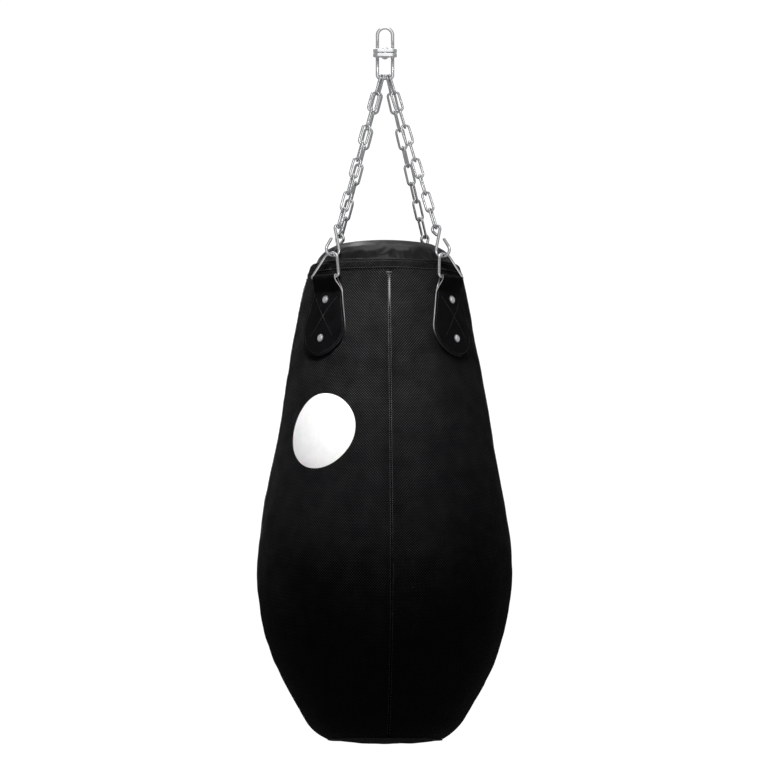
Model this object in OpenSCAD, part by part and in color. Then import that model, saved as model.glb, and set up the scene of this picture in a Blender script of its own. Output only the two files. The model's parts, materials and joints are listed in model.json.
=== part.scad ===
// Heavy punching bag: a stuffed pear-shaped bag that hangs on four chains below a swivel.
// Millimetres. The origin is the saddle inside the top of the upper bail, where a hook
// carries the bag. +Z is up, -Y is the front, +X is the right-hand side.

/* [Swivel] */
// Diameter of the wire of both bails
bail_wire = 7; // [5:0.5:8]
// Distance between the two leg axes of a bail
bail_span = 30.5; // [30:0.5:34]
// Depth of the bow's inner saddle above the upper plate
bow_depth = 40; // [34:1:60]
// Length of a swivel plate, from side to side
plate_length = 48; // [46:1:56]
// Width of a swivel plate, from front to back
plate_width = 22; // [18:1:28]
// Thickness of a swivel plate
plate_thickness = 6.5; // [4:0.5:8]
// Thickness of the washer between the plates
washer_thickness = 2; // [1:0.5:4]
// Running gap under the washer
washer_gap = 0.2; // [0.1:0.05:0.5]
// Diameter of the swivel rivet's shank
rivet_shank = 9; // [6:0.5:10]
// Diameter of the swivel rivet's heads
rivet_head = 15.6; // [12:0.2:18]
// Height of the swivel rivet's heads
rivet_head_height = 5; // [3:0.5:6]
// Radial running clearance around the swivel rivet
rivet_clearance = 0.05; // [0.02:0.01:0.1]
// Depth of the lower bail's bar axis below the saddle
bar_depth = 98.5; // [96:0.5:110]
// Corner radius of the lower bail, at the wire's axis
bail_corner = 6; // [6:0.5:8]

/* [Chains] */
// Straight length of a strand, from the bail's bar to the ring's bar
strand_length = 448; // [440:1:470]
// Number of links in each strand
link_count = 9; // [9]
// Diameter of the link wire
link_wire = 5; // [4:0.5:5]
// Outer width of a link
link_width = 20; // [19:0.5:22]
// Gap left where one piece of the chain bears on the next
bearing_gap = 0.3; // [0.2:0.05:0.5]
// Place along the bar of the outer, front strands
front_slot = 9.9; // [9.7:0.1:10]
// Place along the bar of the inner, rear strands
rear_slot = 4.4; // [4:0.1:4.4]

/* [Hooks and rings] */
// Diameter of the wire of the S-hooks and D-rings
hook_wire = 6; // [5:0.5:6]
// Height of an S-hook, at the wire's axis
hook_height = 69; // [66:1:72]
// Radius of the S-hook's open lower loop, at the wire's axis
hook_low_r = 14.2; // [14:0.1:15]
// Radius of the S-hook's pinched upper loop, at the wire's axis
hook_top_r = 8; // [8:0.1:8.5]
// Place of the lower loop's tip, outward and up from the loop's centre
hook_tip = [9.5, 20.5];
// Length of the upper loop's straight end, which nearly meets the spine
hook_back = 8.4; // [4:0.2:9]
// Turn of the hooks away from the radial plane, towards the sides
hook_turn = 22; // [15:1:25]
// Height of a D-ring, from the bar's axis to the wire's axis at its crown
ring_height = 54; // [50:1:58]
// Half of a D-ring's width, at the wire's axis
ring_half = 35; // [35:0.5:40]
// Corner radius of a D-ring, at the wire's axis
ring_corner = 5; // [5:0.5:6]
// Radius of a D-ring's crown, at the wire's axis
ring_crown = 20; // [14:0.5:22]
// Distance of the rings' bars from the bag's axis
ring_bar_r = 174; // [173:0.5:177]

/* [Straps] */
// Angle of the front straps from the front, to each side
front_azimuth = 46; // [45:1:50]
// Angle of the rear straps from the front, to each side
rear_azimuth = 140; // [135:1:140]
// Thickness of a strap, two layers of leather
strap_thickness = 5; // [4:0.5:6]
// Thickness of the leather that folds around a ring's bar
strap_fold = 2.5; // [2:0.25:3]
// Clearance between a ring's bar and the fold around it
strap_bore_gap = 0.35; // [0.3:0.05:0.5]
// Half width of a strap at the ring
strap_neck = 29.5; // [27:0.5:29.5]
// Radius of a strap's round foot
strap_foot_r = 54; // [50:1:60]
// Depth of the centre of a strap's foot below the saddle
strap_foot_depth = 617; // [605:1:625]
// Depths of the two rivets of each strap below the saddle
strap_rivet_depths = [558.5, 636.5];
// Diameter of a strap rivet's head
strap_rivet_head = 12.4; // [10:0.2:14]
// Height of a strap rivet's domed head
strap_rivet_dome = 3.2; // [2:0.2:4]
// Radius of a strap rivet's shank
strap_rivet_r = 2.5; // [2:0.1:3]

/* [Bag] */
// Stations of the side outline, each [radius, depth below the saddle]
stations = [[147, 478], [161, 518], [176, 590], [210, 783], [243, 976],
            [256, 1091], [246, 1193], [213, 1289], [158, 1386], [137, 1411],
            [115, 1425]];
// Thickness of the shell's panels
panel_thickness = 2.2; // [1.5:0.1:2.4]
// Half of the gap between two panels at a seam, in degrees
seam_gap = 0.08; // [0.05:0.01:0.2]
// Depth under the shell of the inner liner's outer face
liner_depth = 4; // [4:0.1:5]
// Thickness of the inner liner
liner_thickness = 0.8; // [0.6:0.1:1]
// Thickness of the foam wrap
foam_thickness = 20; // [10:1:30]
// Height of the hem band around the rim
hem_height = 22; // [18:1:24]
// Thickness of the hem band
hem_thickness = 1.2; // [0.8:0.1:1.4]
// Radius of the rim's piping
piping_r = 1.4; // [1:0.1:1.5]
// Width of the tapes behind the seams
seam_tape_width = 18; // [12:1:24]
// Diameter of the plain target patch
patch_diameter = 150; // [100:5:160]
// Angle of the target patch from the front
patch_azimuth = -39; // [-45:1:-30]
// Depth of the target patch's centre below the saddle
patch_depth = 823; // [800:1:850]
// Thickness of the target patch
patch_thickness = 0.8; // [0.5:0.1:1]

/* [Top closure] */
// Depth of the lid's top below the saddle
lid_depth = 431; // [428:1:434]
// Radius of the flat, middle part of the lid's dome
dome_r = 505; // [480:5:600]
// Thickness of the lid
lid_thickness = 2.2; // [1.5:0.1:2.5]
// Half of the zip track's length, as an angle at the dome's centre
zip_half_angle = 10.5; // [8:0.5:11]
// Half width of the slot in the lid
zip_slot = 6.2; // [6:0.1:7]
// Half width of the closed teeth
zip_teeth = 3; // [2.5:0.1:3.2]
// Half of the slider's travel, as an angle at the dome's centre
slider_half_travel = 9.4; // [8:0.1:9.6]
// Length of the slider's pull
pull_length = 27; // [20:1:30]

/* [Hidden] */
$fn = 48;

STEEL = "#b9bcc0";
BLACK = "#1b1b1d";
LEATHER = "#26262a";

// Swivel, worked out
bail_r = bail_wire / 2;
leg_x = bail_span / 2;
bow_z = bail_r - leg_x;
upper_plate_z = -bow_depth;
washer_z = upper_plate_z - plate_thickness;
lower_plate_z = washer_z - washer_thickness - washer_gap;
lower_plate_end = lower_plate_z - plate_thickness;
leg_bore = bail_r + 0.05;

// Strands: 0 front left, 1 front right, 2 rear left, 3 rear right
strand_azimuths = [-front_azimuth, front_azimuth, -rear_azimuth, rear_azimuth];
strand_slots = [-front_slot, front_slot, -rear_slot, rear_slot];
link_r = link_wire / 2;
link_half = (link_width - link_wire) / 2;
hook_r = hook_wire / 2;

// Thin gap between pieces that are sewn or glued together
rest_gap = 0.1;
// Gap between the strap and the shell under it
strap_gap = 0.3;
// Radius of holes around the strap rivets
strap_rivet_hole = strap_rivet_r + 0.05;
burr_thickness = 1.1;
burr_r = 6;

// Centre of the dome's middle part, on the bag's axis
dome_z = -lid_depth - dome_r;
// The lid's shoulder, each [radius, depth below the saddle]
lid_shoulder = [[100, 441], [118, 451], [131, 464], [140, 477]];

function unit(v) = v / norm(v);
function around(radius, azimuth, z) = [radius * sin(azimuth), -radius * cos(azimuth), z];

// The side outline: a smooth curve through the stations, by length along their chords
points = [for (s = stations) [s[0], -s[1]]];
last = len(points) - 1;
function knot(i) = i == 0 ? 0 : knot(i - 1) + norm(points[i] - points[i - 1]);
knots = [for (i = [0 : last]) knot(i)];
function chord(i) = (points[i + 1] - points[i]) / (knots[i + 1] - knots[i]);
function slope(i) =
    i == 0 ? 1.5 * chord(0) - 0.5 * slope(1)
    : i == last ? 1.5 * chord(last - 1) - 0.5 * slope(last - 1)
    : (points[i + 1] - points[i - 1]) / (knots[i + 1] - knots[i - 1]);
function span_of(s) = min(last - 1, len([for (i = [1 : last]) if (knots[i] <= s) i]));
function outline(s) =
    let (i = span_of(s), h = knots[i + 1] - knots[i], t = (s - knots[i]) / h)
    (2 * t * t * t - 3 * t * t + 1) * points[i] + (t * t * t - 2 * t * t + t) * h * slope(i)
    + (3 * t * t - 2 * t * t * t) * points[i + 1] + (t * t * t - t * t) * h * slope(i + 1);
function outward(s) =
    let (e = 0.5, a = outline(max(s - e, 0)), b = outline(min(s + e, knots[last])), d = unit(b - a))
    [-d[1], d[0]];
function offset_point(s, d) = outline(s) + d * outward(s);
outline_end = knots[last];
// Where the panels and the hem band start, along the outline
shell_from = 2.2;
hem_from = 2.7;

// Walls share the same breaks along the outline, so that layers stay parallel
break_count = 48;
function break_s(i) = outline_end * i / break_count;
function wall_point(s, d) =
    let (g = s / outline_end * break_count, i = min(break_count - 1, floor(g)), f = g - i)
    (1 - f) * offset_point(break_s(i), d) + f * offset_point(break_s(i + 1), d);
function side_curve(d, from, to) =
    concat([wall_point(from, d)],
           [for (i = [1 : break_count - 1]) if (break_s(i) > from + 1 && break_s(i) < to - 1)
               offset_point(break_s(i), d)],
           [wall_point(to, d)]);
function flipped(list) = [for (i = [len(list) - 1 : -1 : 0]) list[i]];
function band(outer, inner, from, to) =
    concat(side_curve(outer, from, to), flipped(side_curve(inner, from, to)));

// Length along the outline at a depth, by halving
function at_depth(depth, a = 0, b = outline_end, n = 24) =
    n == 0 ? (a + b) / 2
    : outline((a + b) / 2)[1] > -depth ? at_depth(depth, (a + b) / 2, b, n - 1)
    : at_depth(depth, a, (a + b) / 2, n - 1);

// A strand's geometry
function bar_point(k) = [strand_slots[k], 0, -bar_depth];
function ring_xy(k) = around(ring_bar_r, strand_azimuths[k], 0);
function ring_point(k) =
    let (x = ring_xy(k)[0] - strand_slots[k], y = ring_xy(k)[1])
    [ring_xy(k)[0], y, -bar_depth - sqrt(pow(strand_length, 2) - x * x - y * y)];
function down(k) = unit(ring_point(k) - bar_point(k));
function on_strand(k, s) = bar_point(k) + s * down(k);
function first_crown(k) =
    -(bail_r + link_r + bearing_gap) / sqrt(1 - pow(down(k)[0], 2));
hook_drop = hook_r - link_r;
ring_lift = hook_wire + bearing_gap;
function pitch(k) =
    (strand_length - ring_height + ring_lift - hook_height + hook_drop - first_crown(k)) / link_count;
function crown(k, row) = first_crown(k) + (row - 1) * pitch(k);
function hook_crown(k) = crown(k, link_count + 1) - hook_drop;
function side_of(k) = strand_slots[k] > 0 ? 1 : -1;
// Sideways direction of the first row, across its links
function first_normal(k) =
    let (x = [side_of(k), 0, 0]) unit(x - (x * down(k)) * down(k));
function radial(k) =
    let (r = around(1, strand_azimuths[k], 0)) unit(r - (r * down(k)) * down(k));
function turned(k, angle) =
    cos(angle) * first_normal(k) + sin(angle) * cross(down(k), first_normal(k));
function radial_angle(k) =
    atan2(cross(down(k), first_normal(k)) * radial(k), first_normal(k) * radial(k));
function last_turn(k) = radial_angle(k) - sign(radial_angle(k)) * hook_turn;
function row_turn(k, row) = 90 * (row - 1) + last_turn(k) * (row - 1) / (link_count - 1);

// Puts a shape drawn in a plane into the frame of an origin and two directions
module framed(origin, x, y) {
    z = cross(x, y);
    multmatrix([[x[0], y[0], z[0], origin[0]], [x[1], y[1], z[1], origin[1]],
                [x[2], y[2], z[2], origin[2]], [0, 0, 0, 1]])
        children();
}

module wire_arc(centre, radius, from, to, r) {
    translate([centre[0], centre[1], 0])
        rotate([0, 0, from])
            rotate_extrude(angle = to - from)
                translate([radius, 0])
                    circle(r = r);
}

module wire_rod(a, b, r) {
    translate([a[0], a[1], 0])
        rotate([0, 0, atan2(b[1] - a[1], b[0] - a[0])])
            rotate([0, 90, 0])
                cylinder(h = norm(b - a), r = r);
}

// A straight stretch between two bends: it stops just short of a bend, and a collar that is a
// hair thicker than the wire joins the two. The end at b can be free.
module bent_rod(a, b, r, free = false) {
    way = unit(b - a);
    short = 0.2;
    collar = 0.6;
    wire_rod(a + short * way, b - (free ? 0 : short) * way, r);
    wire_rod(a - collar * way, a + (short + collar) * way, r + 0.12);
    if (!free) wire_rod(b - (short + collar) * way, b + collar * way, r + 0.12);
}

module revolved(profile, from = 0, to = 360) {
    if (to - from == 360) rotate_extrude($fn = 120) polygon(profile);
    else rotate([0, 0, from]) rotate_extrude(angle = to - from, $fn = 120) polygon(profile);
}

// Stands a shape on the bag's side: +X outward, +Y across, +Z up, at an azimuth
module at_azimuth(azimuth) {
    rotate([0, 0, azimuth - 90]) children();
}

// Swivel pieces
module stadium_plate(top) {
    translate([0, 0, top - plate_thickness])
        linear_extrude(plate_thickness)
            union() {
                square([plate_length - plate_width, plate_width], center = true);
                for (side = [-1, 1])
                    translate([side * (plate_length - plate_width) / 2, 0])
                        circle(d = plate_width, $fn = 64);
            }
}

module plate_with_holes(top, middle_bore) {
    difference() {
        stadium_plate(top);
        translate([0, 0, top - plate_thickness - 1])
            cylinder(h = plate_thickness + 2, r = middle_bore);
        for (side = [-1, 1])
            translate([side * leg_x, 0, top - plate_thickness - 1])
                cylinder(h = plate_thickness + 2, r = leg_bore);
    }
}

module upper_bail() color(STEEL) {
    framed([0, 0, 0], [1, 0, 0], [0, 0, 1]) {
        wire_arc([0, bow_z], leg_x, 0, 180, bail_r);
        for (side = [-1, 1])
            wire_rod([side * leg_x, washer_z], [side * leg_x, bow_z], bail_r);
    }
}

module upper_swivel_plate() color(STEEL) plate_with_holes(upper_plate_z, rivet_shank / 2 + rivet_clearance);

module swivel_rivet() color(STEEL) {
    head_r = rivet_head / 2;
    cap_r = (head_r * head_r + rivet_head_height * rivet_head_height) / (2 * rivet_head_height);
    shank_top = upper_plate_z + rest_gap;
    shank_end = lower_plate_end - washer_gap;
    translate([0, 0, shank_end])
        cylinder(h = shank_top - shank_end, d = rivet_shank);
    for (end = [[shank_top, 1], [shank_end, -1]])
        intersection() {
            translate([0, 0, end[0] + end[1] * (rivet_head_height - cap_r)])
                sphere(r = cap_r);
            translate([0, 0, end[0] + (end[1] > 0 ? 0 : -rivet_head_height - 1)])
                cylinder(h = rivet_head_height + 1, r = head_r + 1);
        }
}

module swivel_washer() color(STEEL) {
    translate([0, 0, washer_z - washer_thickness])
        difference() {
            cylinder(h = washer_thickness - rest_gap, d = rivet_head);
            translate([0, 0, -1])
                cylinder(h = washer_thickness + 2, r = rivet_shank / 2 + rivet_clearance);
        }
}

module lower_swivel_plate() color(STEEL)
    plate_with_holes(lower_plate_z, rivet_shank / 2 + rivet_clearance);

module lower_bail() color(STEEL) {
    corner_x = leg_x - bail_corner;
    corner_z = -bar_depth + bail_corner;
    framed([0, 0, 0], [1, 0, 0], [0, 0, 1]) {
        wire_rod([-corner_x, -bar_depth], [corner_x, -bar_depth], bail_r);
        wire_arc([corner_x, corner_z], bail_corner, 270, 360, bail_r);
        wire_arc([-corner_x, corner_z], bail_corner, 180, 270, bail_r);
        for (side = [-1, 1])
            wire_rod([side * leg_x, corner_z], [side * leg_x, lower_plate_z], bail_r);
    }
}

// Chain links: each row holds one link of every strand
module link(k, row) {
    length = pitch(k) + link_wire + bearing_gap;
    straight = length - 2 * link_half;
    middle = on_strand(k, crown(k, row) + length / 2);
    normal = turned(k, row_turn(k, row));
    framed(middle, cross(normal, down(k)), down(k)) {
        wire_arc([0, straight / 2], link_half, 0, 180, link_r);
        wire_arc([0, -straight / 2], link_half, 180, 360, link_r);
        for (side = [-1, 1])
            bent_rod([side * link_half, -straight / 2], [side * link_half, straight / 2], link_r);
    }
}

module chain_links(row) color(STEEL) {
    for (k = [0 : 3]) link(k, row);
}

// S-hooks, drawn with X outward and Y up, from the lower loop's centre
module s_hook(k) color(STEEL) {
    rise = hook_height - hook_low_r - hook_top_r;
    lean = asin((hook_low_r + hook_top_r) / rise);
    spine_low = hook_low_r * [-cos(lean), sin(lean)];
    spine_top = [0, rise] + hook_top_r * [cos(lean), -sin(lean)];
    tip_turn = atan2(hook_tip[1], hook_tip[0]) - acos(hook_low_r / norm(hook_tip));
    tip_root = hook_low_r * [cos(tip_turn), sin(tip_turn)];
    back_root = [0, rise] + hook_top_r * [-cos(lean), -sin(lean)];
    back_end = back_root + hook_back * [sin(lean), -cos(lean)];
    centre = on_strand(k, hook_crown(k) + hook_height - hook_low_r);
    framed(centre, turned(k, last_turn(k)), -down(k)) {
        wire_arc([0, 0], hook_low_r, 180 - lean, 360 + tip_turn, hook_r);
        bent_rod(tip_root, hook_tip, hook_r, free = true);
        bent_rod(spine_low, spine_top, hook_r);
        wire_arc([0, rise], hook_top_r, -lean, 180 + lean, hook_r);
        bent_rod(back_root, back_end, hook_r, free = true);
    }
}

// D-rings, drawn with X along the bar and Y up to the crown
module d_ring(k) color(STEEL) {
    corner = [ring_half - ring_corner, ring_corner];
    top = [0, ring_height - ring_crown];
    way = top - corner;
    lean = atan2(way[1], way[0]) - acos((ring_corner - ring_crown) / norm(way));
    leg_low = corner + ring_corner * [cos(lean), sin(lean)];
    leg_top = top + ring_crown * [cos(lean), sin(lean)];
    across = around(1, strand_azimuths[k] + 90, 0);
    up = unit(-down(k) + (down(k) * across) * across);
    framed(ring_point(k), across, up) {
        bent_rod([-corner[0], 0], [corner[0], 0], hook_r);
        wire_arc(corner, ring_corner, 270, 360 + lean, hook_r);
        wire_arc([-corner[0], corner[1]], ring_corner, 180 - lean, 270, hook_r);
        bent_rod(leg_low, leg_top, hook_r);
        bent_rod([-leg_low[0], leg_low[1]], [-leg_top[0], leg_top[1]], hook_r);
        wire_arc(top, ring_crown, lean, 180 - lean, hook_r);
    }
}

// Straps: a teardrop of folded leather on the shell, with a fold around the ring's bar
function teardrop(top_z) =
    let (foot_z = -strap_foot_depth, rise = top_z - foot_z,
         touch = atan2(rise, strap_neck) - acos(strap_foot_r / norm([strap_neck, rise])),
         steps = 24)
    concat([[-strap_neck, top_z]],
           [for (i = [0 : steps]) let (a = 180 - touch + (180 + 2 * touch) * i / steps)
               [0, foot_z] + strap_foot_r * [cos(a), sin(a)]],
           [[strap_neck, top_z]]);

// Holes and rivets stand square to the shell at a strap's two rivet depths
module strap_rivet_places() {
    for (depth = strap_rivet_depths) {
        p = outline(at_depth(depth));
        n = outward(at_depth(depth));
        translate([p[0], 0, p[1]])
            rotate([0, 90 - atan2(n[1], n[0]), 0])
                children();
    }
}

module at_strap_rivets(k) {
    at_azimuth(strand_azimuths[k])
        strap_rivet_places()
            children();
}

module strap(k) color(LEATHER) {
    bar_z = ring_point(k)[2];
    fold_r = hook_r + strap_bore_gap + strap_fold;
    blend_z = bar_z - 30;
    inner = strap_gap;
    outer = strap_gap + strap_thickness;
    blend_r = offset_point(at_depth(-blend_z), outer)[0];
    above = at_depth(-bar_z - 8);
    below = at_depth(strap_foot_depth + strap_foot_r + 8);
    fold = concat([for (a = [-6 : 14 : 204]) [ring_bar_r, bar_z] + fold_r * [cos(a), sin(a)]],
                  [[ring_bar_r - 16, bar_z - 8], [blend_r - strap_thickness, blend_z],
                   [blend_r + 0.4, blend_z]]);
    at_azimuth(strand_azimuths[k])
        difference() {
            union() {
                intersection() {
                    rotate([0, 0, -24])
                        rotate_extrude(angle = 48, $fn = 120)
                            polygon(band(outer, -40, above, below));
                    translate([ring_bar_r - 60, 0, 0])
                        rotate([90, 0, 90])
                            linear_extrude(120)
                                polygon(teardrop(bar_z - 4));
                }
                rotate([90, 0, 0])
                    linear_extrude(2 * strap_neck - 0.6, center = true)
                        polygon(fold);
            }
            rotate([0, 0, -26])
                rotate_extrude(angle = 52, $fn = 120)
                    polygon(band(inner, -60, at_depth(-bar_z - 26), at_depth(strap_foot_depth + 90)));
            translate([ring_bar_r, 0, bar_z])
                rotate([90, 0, 0])
                    cylinder(h = 4 * strap_neck, r = hook_r + strap_bore_gap, center = true);
            strap_rivet_places()
                translate([0, 0, -1])
                    cylinder(h = strap_thickness + 4, r = strap_rivet_hole);
        }
}

module strap_rivets() color(STEEL) {
    head_r = strap_rivet_head / 2;
    cap_r = (head_r * head_r + strap_rivet_dome * strap_rivet_dome) / (2 * strap_rivet_dome);
    seat = strap_gap + strap_thickness + 0.7;
    for (k = [0 : 3])
        at_strap_rivets(k) {
            translate([0, 0, -liner_depth + 0.3])
                cylinder(h = seat + liner_depth - 0.3, r = strap_rivet_r);
            intersection() {
                translate([0, 0, seat + strap_rivet_dome - cap_r])
                    sphere(r = cap_r);
                translate([0, 0, seat])
                    cylinder(h = strap_rivet_dome + 1, r = head_r + 1);
            }
        }
}

module rivet_burrs() color(STEEL) {
    for (k = [0 : 3])
        at_strap_rivets(k)
            translate([0, 0, -panel_thickness - 0.25 - burr_thickness])
                difference() {
                    cylinder(h = burr_thickness, r = burr_r);
                    translate([0, 0, -1])
                        cylinder(h = burr_thickness + 2, r = strap_rivet_hole);
                }
}

// Shell: four panels that meet at the front, right, rear and left seams
module panel(k) color(BLACK) {
    first = k == 0 ? -90 : k == 1 ? 0 : k == 2 ? -180 : 90;
    difference() {
        revolved(band(0, -panel_thickness, shell_from, outline_end), first - 90 + seam_gap, first - seam_gap);
        at_strap_rivets(k)
            translate([0, 0, -panel_thickness - 2])
                cylinder(h = panel_thickness + 4, r = strap_rivet_hole);
    }
}

module seam_tape(azimuth) color(BLACK) {
    outer = -panel_thickness - 0.3;
    inner = -liner_depth + 0.3;
    from = at_depth(500);
    to = outline_end - 12;
    intersection() {
        at_azimuth(azimuth)
            rotate([0, 0, -10])
                rotate_extrude(angle = 20, $fn = 120)
                    polygon(band(outer, inner, from, to));
        at_azimuth(azimuth)
            translate([0, -seam_tape_width / 2, -1500])
                cube([300, seam_tape_width, 1100]);
    }
}

module hem_band() color(BLACK)
    revolved(band(rest_gap + hem_thickness, rest_gap, hem_from, at_depth(stations[0][1] + hem_height)));

module rim_piping() color(BLACK)
    rotate_extrude($fn = 120)
        translate([stations[0][0] - 1.6, -stations[0][1] - 0.7])
            circle(r = piping_r);

// Lid: a dome in a front and a rear half, with a slot for the zip along X
module lid_profile() {
    dome_edge = lid_shoulder[0][0];
    edge_angle = asin(dome_edge / dome_r);
    steps = 8;
    under_r = dome_r - lid_thickness;
    polygon(concat(
        [for (i = [0 : steps]) let (a = edge_angle * i / steps)
            [under_r * sin(a), dome_z + under_r * cos(a)]],
        [for (i = [1 : 3]) [lid_shoulder[i][0] - lid_thickness, -lid_shoulder[i][1] - (i < 3 ? 1 : 0)]],
        [for (i = [3 : -1 : 1]) [lid_shoulder[i][0], -lid_shoulder[i][1]]],
        [for (i = [steps : -1 : 0]) let (a = edge_angle * i / steps)
            [dome_r * sin(a), dome_z + dome_r * cos(a)]]));
}

// A strip along the zip's track: from and to are radii about the dome's centre line
module track_strip(low, high, y_from, y_to, half_angle, middle = 0) {
    translate([0, 0, dome_z])
        rotate([90, 0, 0])
            rotate([0, 0, 90 - middle - half_angle])
                rotate_extrude(angle = 2 * half_angle, $fn = 240)
                    translate([low, -y_to])
                        square([high - low, y_to - y_from]);
}

module lid_half(rear) color(BLACK) {
    difference() {
        rotate([0, 0, rear ? 0 : 180])
            rotate_extrude(angle = 180, $fn = 120)
                lid_profile();
        track_strip(dome_r - 8, dome_r + 8, -zip_slot, zip_slot, zip_half_angle + 1);
        translate([-200, -0.2, -500])
            cube([400, 0.4, 100]);
    }
}

module zip_tape(rear) color(BLACK) {
    high = dome_r - lid_thickness - 0.6;
    if (rear) track_strip(high - 0.7, high, zip_teeth + 0.1, 3 * zip_teeth + 8, zip_half_angle + 0.8);
    else track_strip(high - 0.7, high, -3 * zip_teeth - 8, -zip_teeth - 0.1, zip_half_angle + 0.8);
}

module zip_teeth_chain() color(BLACK)
    track_strip(dome_r - lid_thickness - 1, dome_r - 0.8, -zip_teeth, zip_teeth, zip_half_angle);

module zip_stops() color(STEEL) {
    for (side = [-1, 1])
        track_strip(dome_r - lid_thickness - 1, dome_r - 0.3, -zip_teeth, zip_teeth, 0.2,
                    side * (zip_half_angle + 0.35));
}

// Slider and pull, seen from the dome's surface at the slider
slider_length = 13;
slider_half = zip_slot - 0.7;
slider_top = 1.5;
slider_skirt = 1.9;
slider_lug_r = 2.6;
slider_lug_width = 1.4;
slider_lug_y = 3.1;
slider_pin_r = 1.2;
slider_pin_z = 4.4;
pull_thickness = 1.4;
pull_half = 5;
pull_eye_r = 2.3;
pull_eye_half = 2.1;
pull_hole_r = 2;

module at_slider() {
    translate([0, 0, dome_z])
        rotate([0, -slider_half_travel, 0])
            translate([0, 0, dome_r])
                children();
}

module zip_slider() color(STEEL)
    at_slider() {
        difference() {
            translate([-slider_length / 2, -slider_half, -slider_skirt])
                cube([slider_length, 2 * slider_half, slider_skirt + slider_top]);
            translate([-slider_length / 2 - 1, -zip_teeth - 0.4, -slider_skirt - 2])
                cube([slider_length + 2, 2 * zip_teeth + 0.8, slider_skirt + 1.7]);
        }
        for (side = [-1, 1])
            translate([0, side * slider_lug_y - slider_lug_width / 2, 0]) {
                translate([-slider_lug_r, 0, slider_top])
                    cube([2 * slider_lug_r, slider_lug_width, slider_pin_z - slider_top]);
                translate([0, 0, slider_pin_z])
                    rotate([-90, 0, 0])
                        cylinder(h = slider_lug_width, r = slider_lug_r);
            }
        translate([0, 0, slider_pin_z])
            rotate([90, 0, 0])
                cylinder(h = 2 * slider_lug_y - 0.2, r = slider_pin_r, center = true);
    }

module zip_pull() color(STEEL)
    at_slider()
        translate([0, 0, slider_pin_z])
            difference() {
                union() {
                    rotate([90, 0, 0])
                        cylinder(h = 2 * pull_eye_half, r = pull_eye_r, center = true);
                    translate([0, -pull_eye_half, -pull_thickness / 2])
                        cube([7, 2 * pull_eye_half, pull_thickness]);
                    translate([6, -pull_half, -pull_thickness / 2])
                        cube([pull_length - 10, 2 * pull_half, pull_thickness]);
                    translate([pull_length - 4, 0, -pull_thickness / 2])
                        cylinder(h = pull_thickness, r = pull_half);
                }
                rotate([90, 0, 0])
                    cylinder(h = 8, r = slider_pin_r + 0.05, center = true);
                translate([pull_length - 4, 0, -2])
                    cylinder(h = 4, r = pull_hole_r);
            }

// Bottom: a round cap inside the panels' lower edge, and its piping
bottom_edge = stations[last];
cap_r = bottom_edge[0] - 3.2;
cap_z = -bottom_edge[1] - 0.4;
cap_sag = 8;
cap_steps = 10;
bottom_piping_r = 1.2;
function cap_point(i) = [cap_r * i / cap_steps, cap_z - cap_sag * (1 - pow(i / cap_steps, 2))];

module bottom_cap() color(BLACK)
    rotate_extrude($fn = 120)
        polygon(concat([for (i = [0 : cap_steps]) cap_point(i)],
                       [for (i = [cap_steps : -1 : 0]) cap_point(i) + [0, panel_thickness]]));

module bottom_piping() color(BLACK)
    rotate_extrude($fn = 120)
        translate([bottom_edge[0] - 1.6, -bottom_edge[1] - 0.6])
            circle(r = bottom_piping_r);

// Fill: a liner, a foam wrap and the packed textile core
module inner_liner() color("#444448")
    revolved(band(-liner_depth, -liner_depth - liner_thickness, 4, outline_end - 6));

foam_outer = -liner_depth - liner_thickness - 0.2;
foam_inner = foam_outer - foam_thickness;
module foam_wrap() color("#c9c4b4")
    revolved(band(foam_outer, foam_inner, 8, outline_end - 20));

module textile_core() color("#8d8a86") {
    from = 14;
    to = outline_end - 40;
    top = lid_depth + lid_thickness + 4.5;
    bottom = bottom_edge[1] - 4;
    rotate_extrude($fn = 120)
        polygon(concat([[0, -top], [60, -top - 4], [100, -top - 13]],
                       side_curve(foam_inner - 0.3, from, to),
                       [[72, 8 - bottom], [0, -bottom]]));
}

module target_patch() color("white") {
    s = at_depth(patch_depth);
    intersection() {
        at_azimuth(patch_azimuth)
            rotate([0, 0, -24])
                rotate_extrude(angle = 48, $fn = 120)
                    polygon(band(rest_gap + patch_thickness, rest_gap,
                                 at_depth(patch_depth - patch_diameter / 2 - 10),
                                 at_depth(patch_depth + patch_diameter / 2 + 10)));
        at_azimuth(patch_azimuth)
            translate([outline(s)[0] - 60, 0, -patch_depth])
                rotate([0, 90, 0])
                    cylinder(h = 100, d = patch_diameter, $fn = 96);
    }
}

upper_bail();
upper_swivel_plate();
swivel_rivet();
swivel_washer();
lower_swivel_plate();
lower_bail();
chain_links(1);  // chain_links_row_1
chain_links(2);  // chain_links_row_2
chain_links(3);  // chain_links_row_3
chain_links(4);  // chain_links_row_4
chain_links(5);  // chain_links_row_5
chain_links(6);  // chain_links_row_6
chain_links(7);  // chain_links_row_7
chain_links(8);  // chain_links_row_8
chain_links(9);  // chain_links_row_9
s_hook(0);  // s_hook_front_left
s_hook(1);  // s_hook_front_right
s_hook(2);  // s_hook_rear_left
s_hook(3);  // s_hook_rear_right
d_ring(0);  // d_ring_front_left
d_ring(1);  // d_ring_front_right
d_ring(2);  // d_ring_rear_left
d_ring(3);  // d_ring_rear_right
strap(0);  // strap_front_left
strap(1);  // strap_front_right
strap(2);  // strap_rear_left
strap(3);  // strap_rear_right
strap_rivets();
rivet_burrs();
panel(0);  // panel_front_left
panel(1);  // panel_front_right
panel(2);  // panel_rear_left
panel(3);  // panel_rear_right
seam_tape(0);  // seam_tape_front
seam_tape(90);  // seam_tape_right
seam_tape(180);  // seam_tape_rear
seam_tape(270);  // seam_tape_left
hem_band();
rim_piping();
lid_half(false);  // lid_front
lid_half(true);  // lid_rear
zip_tape(false);  // zip_tape_front
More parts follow.
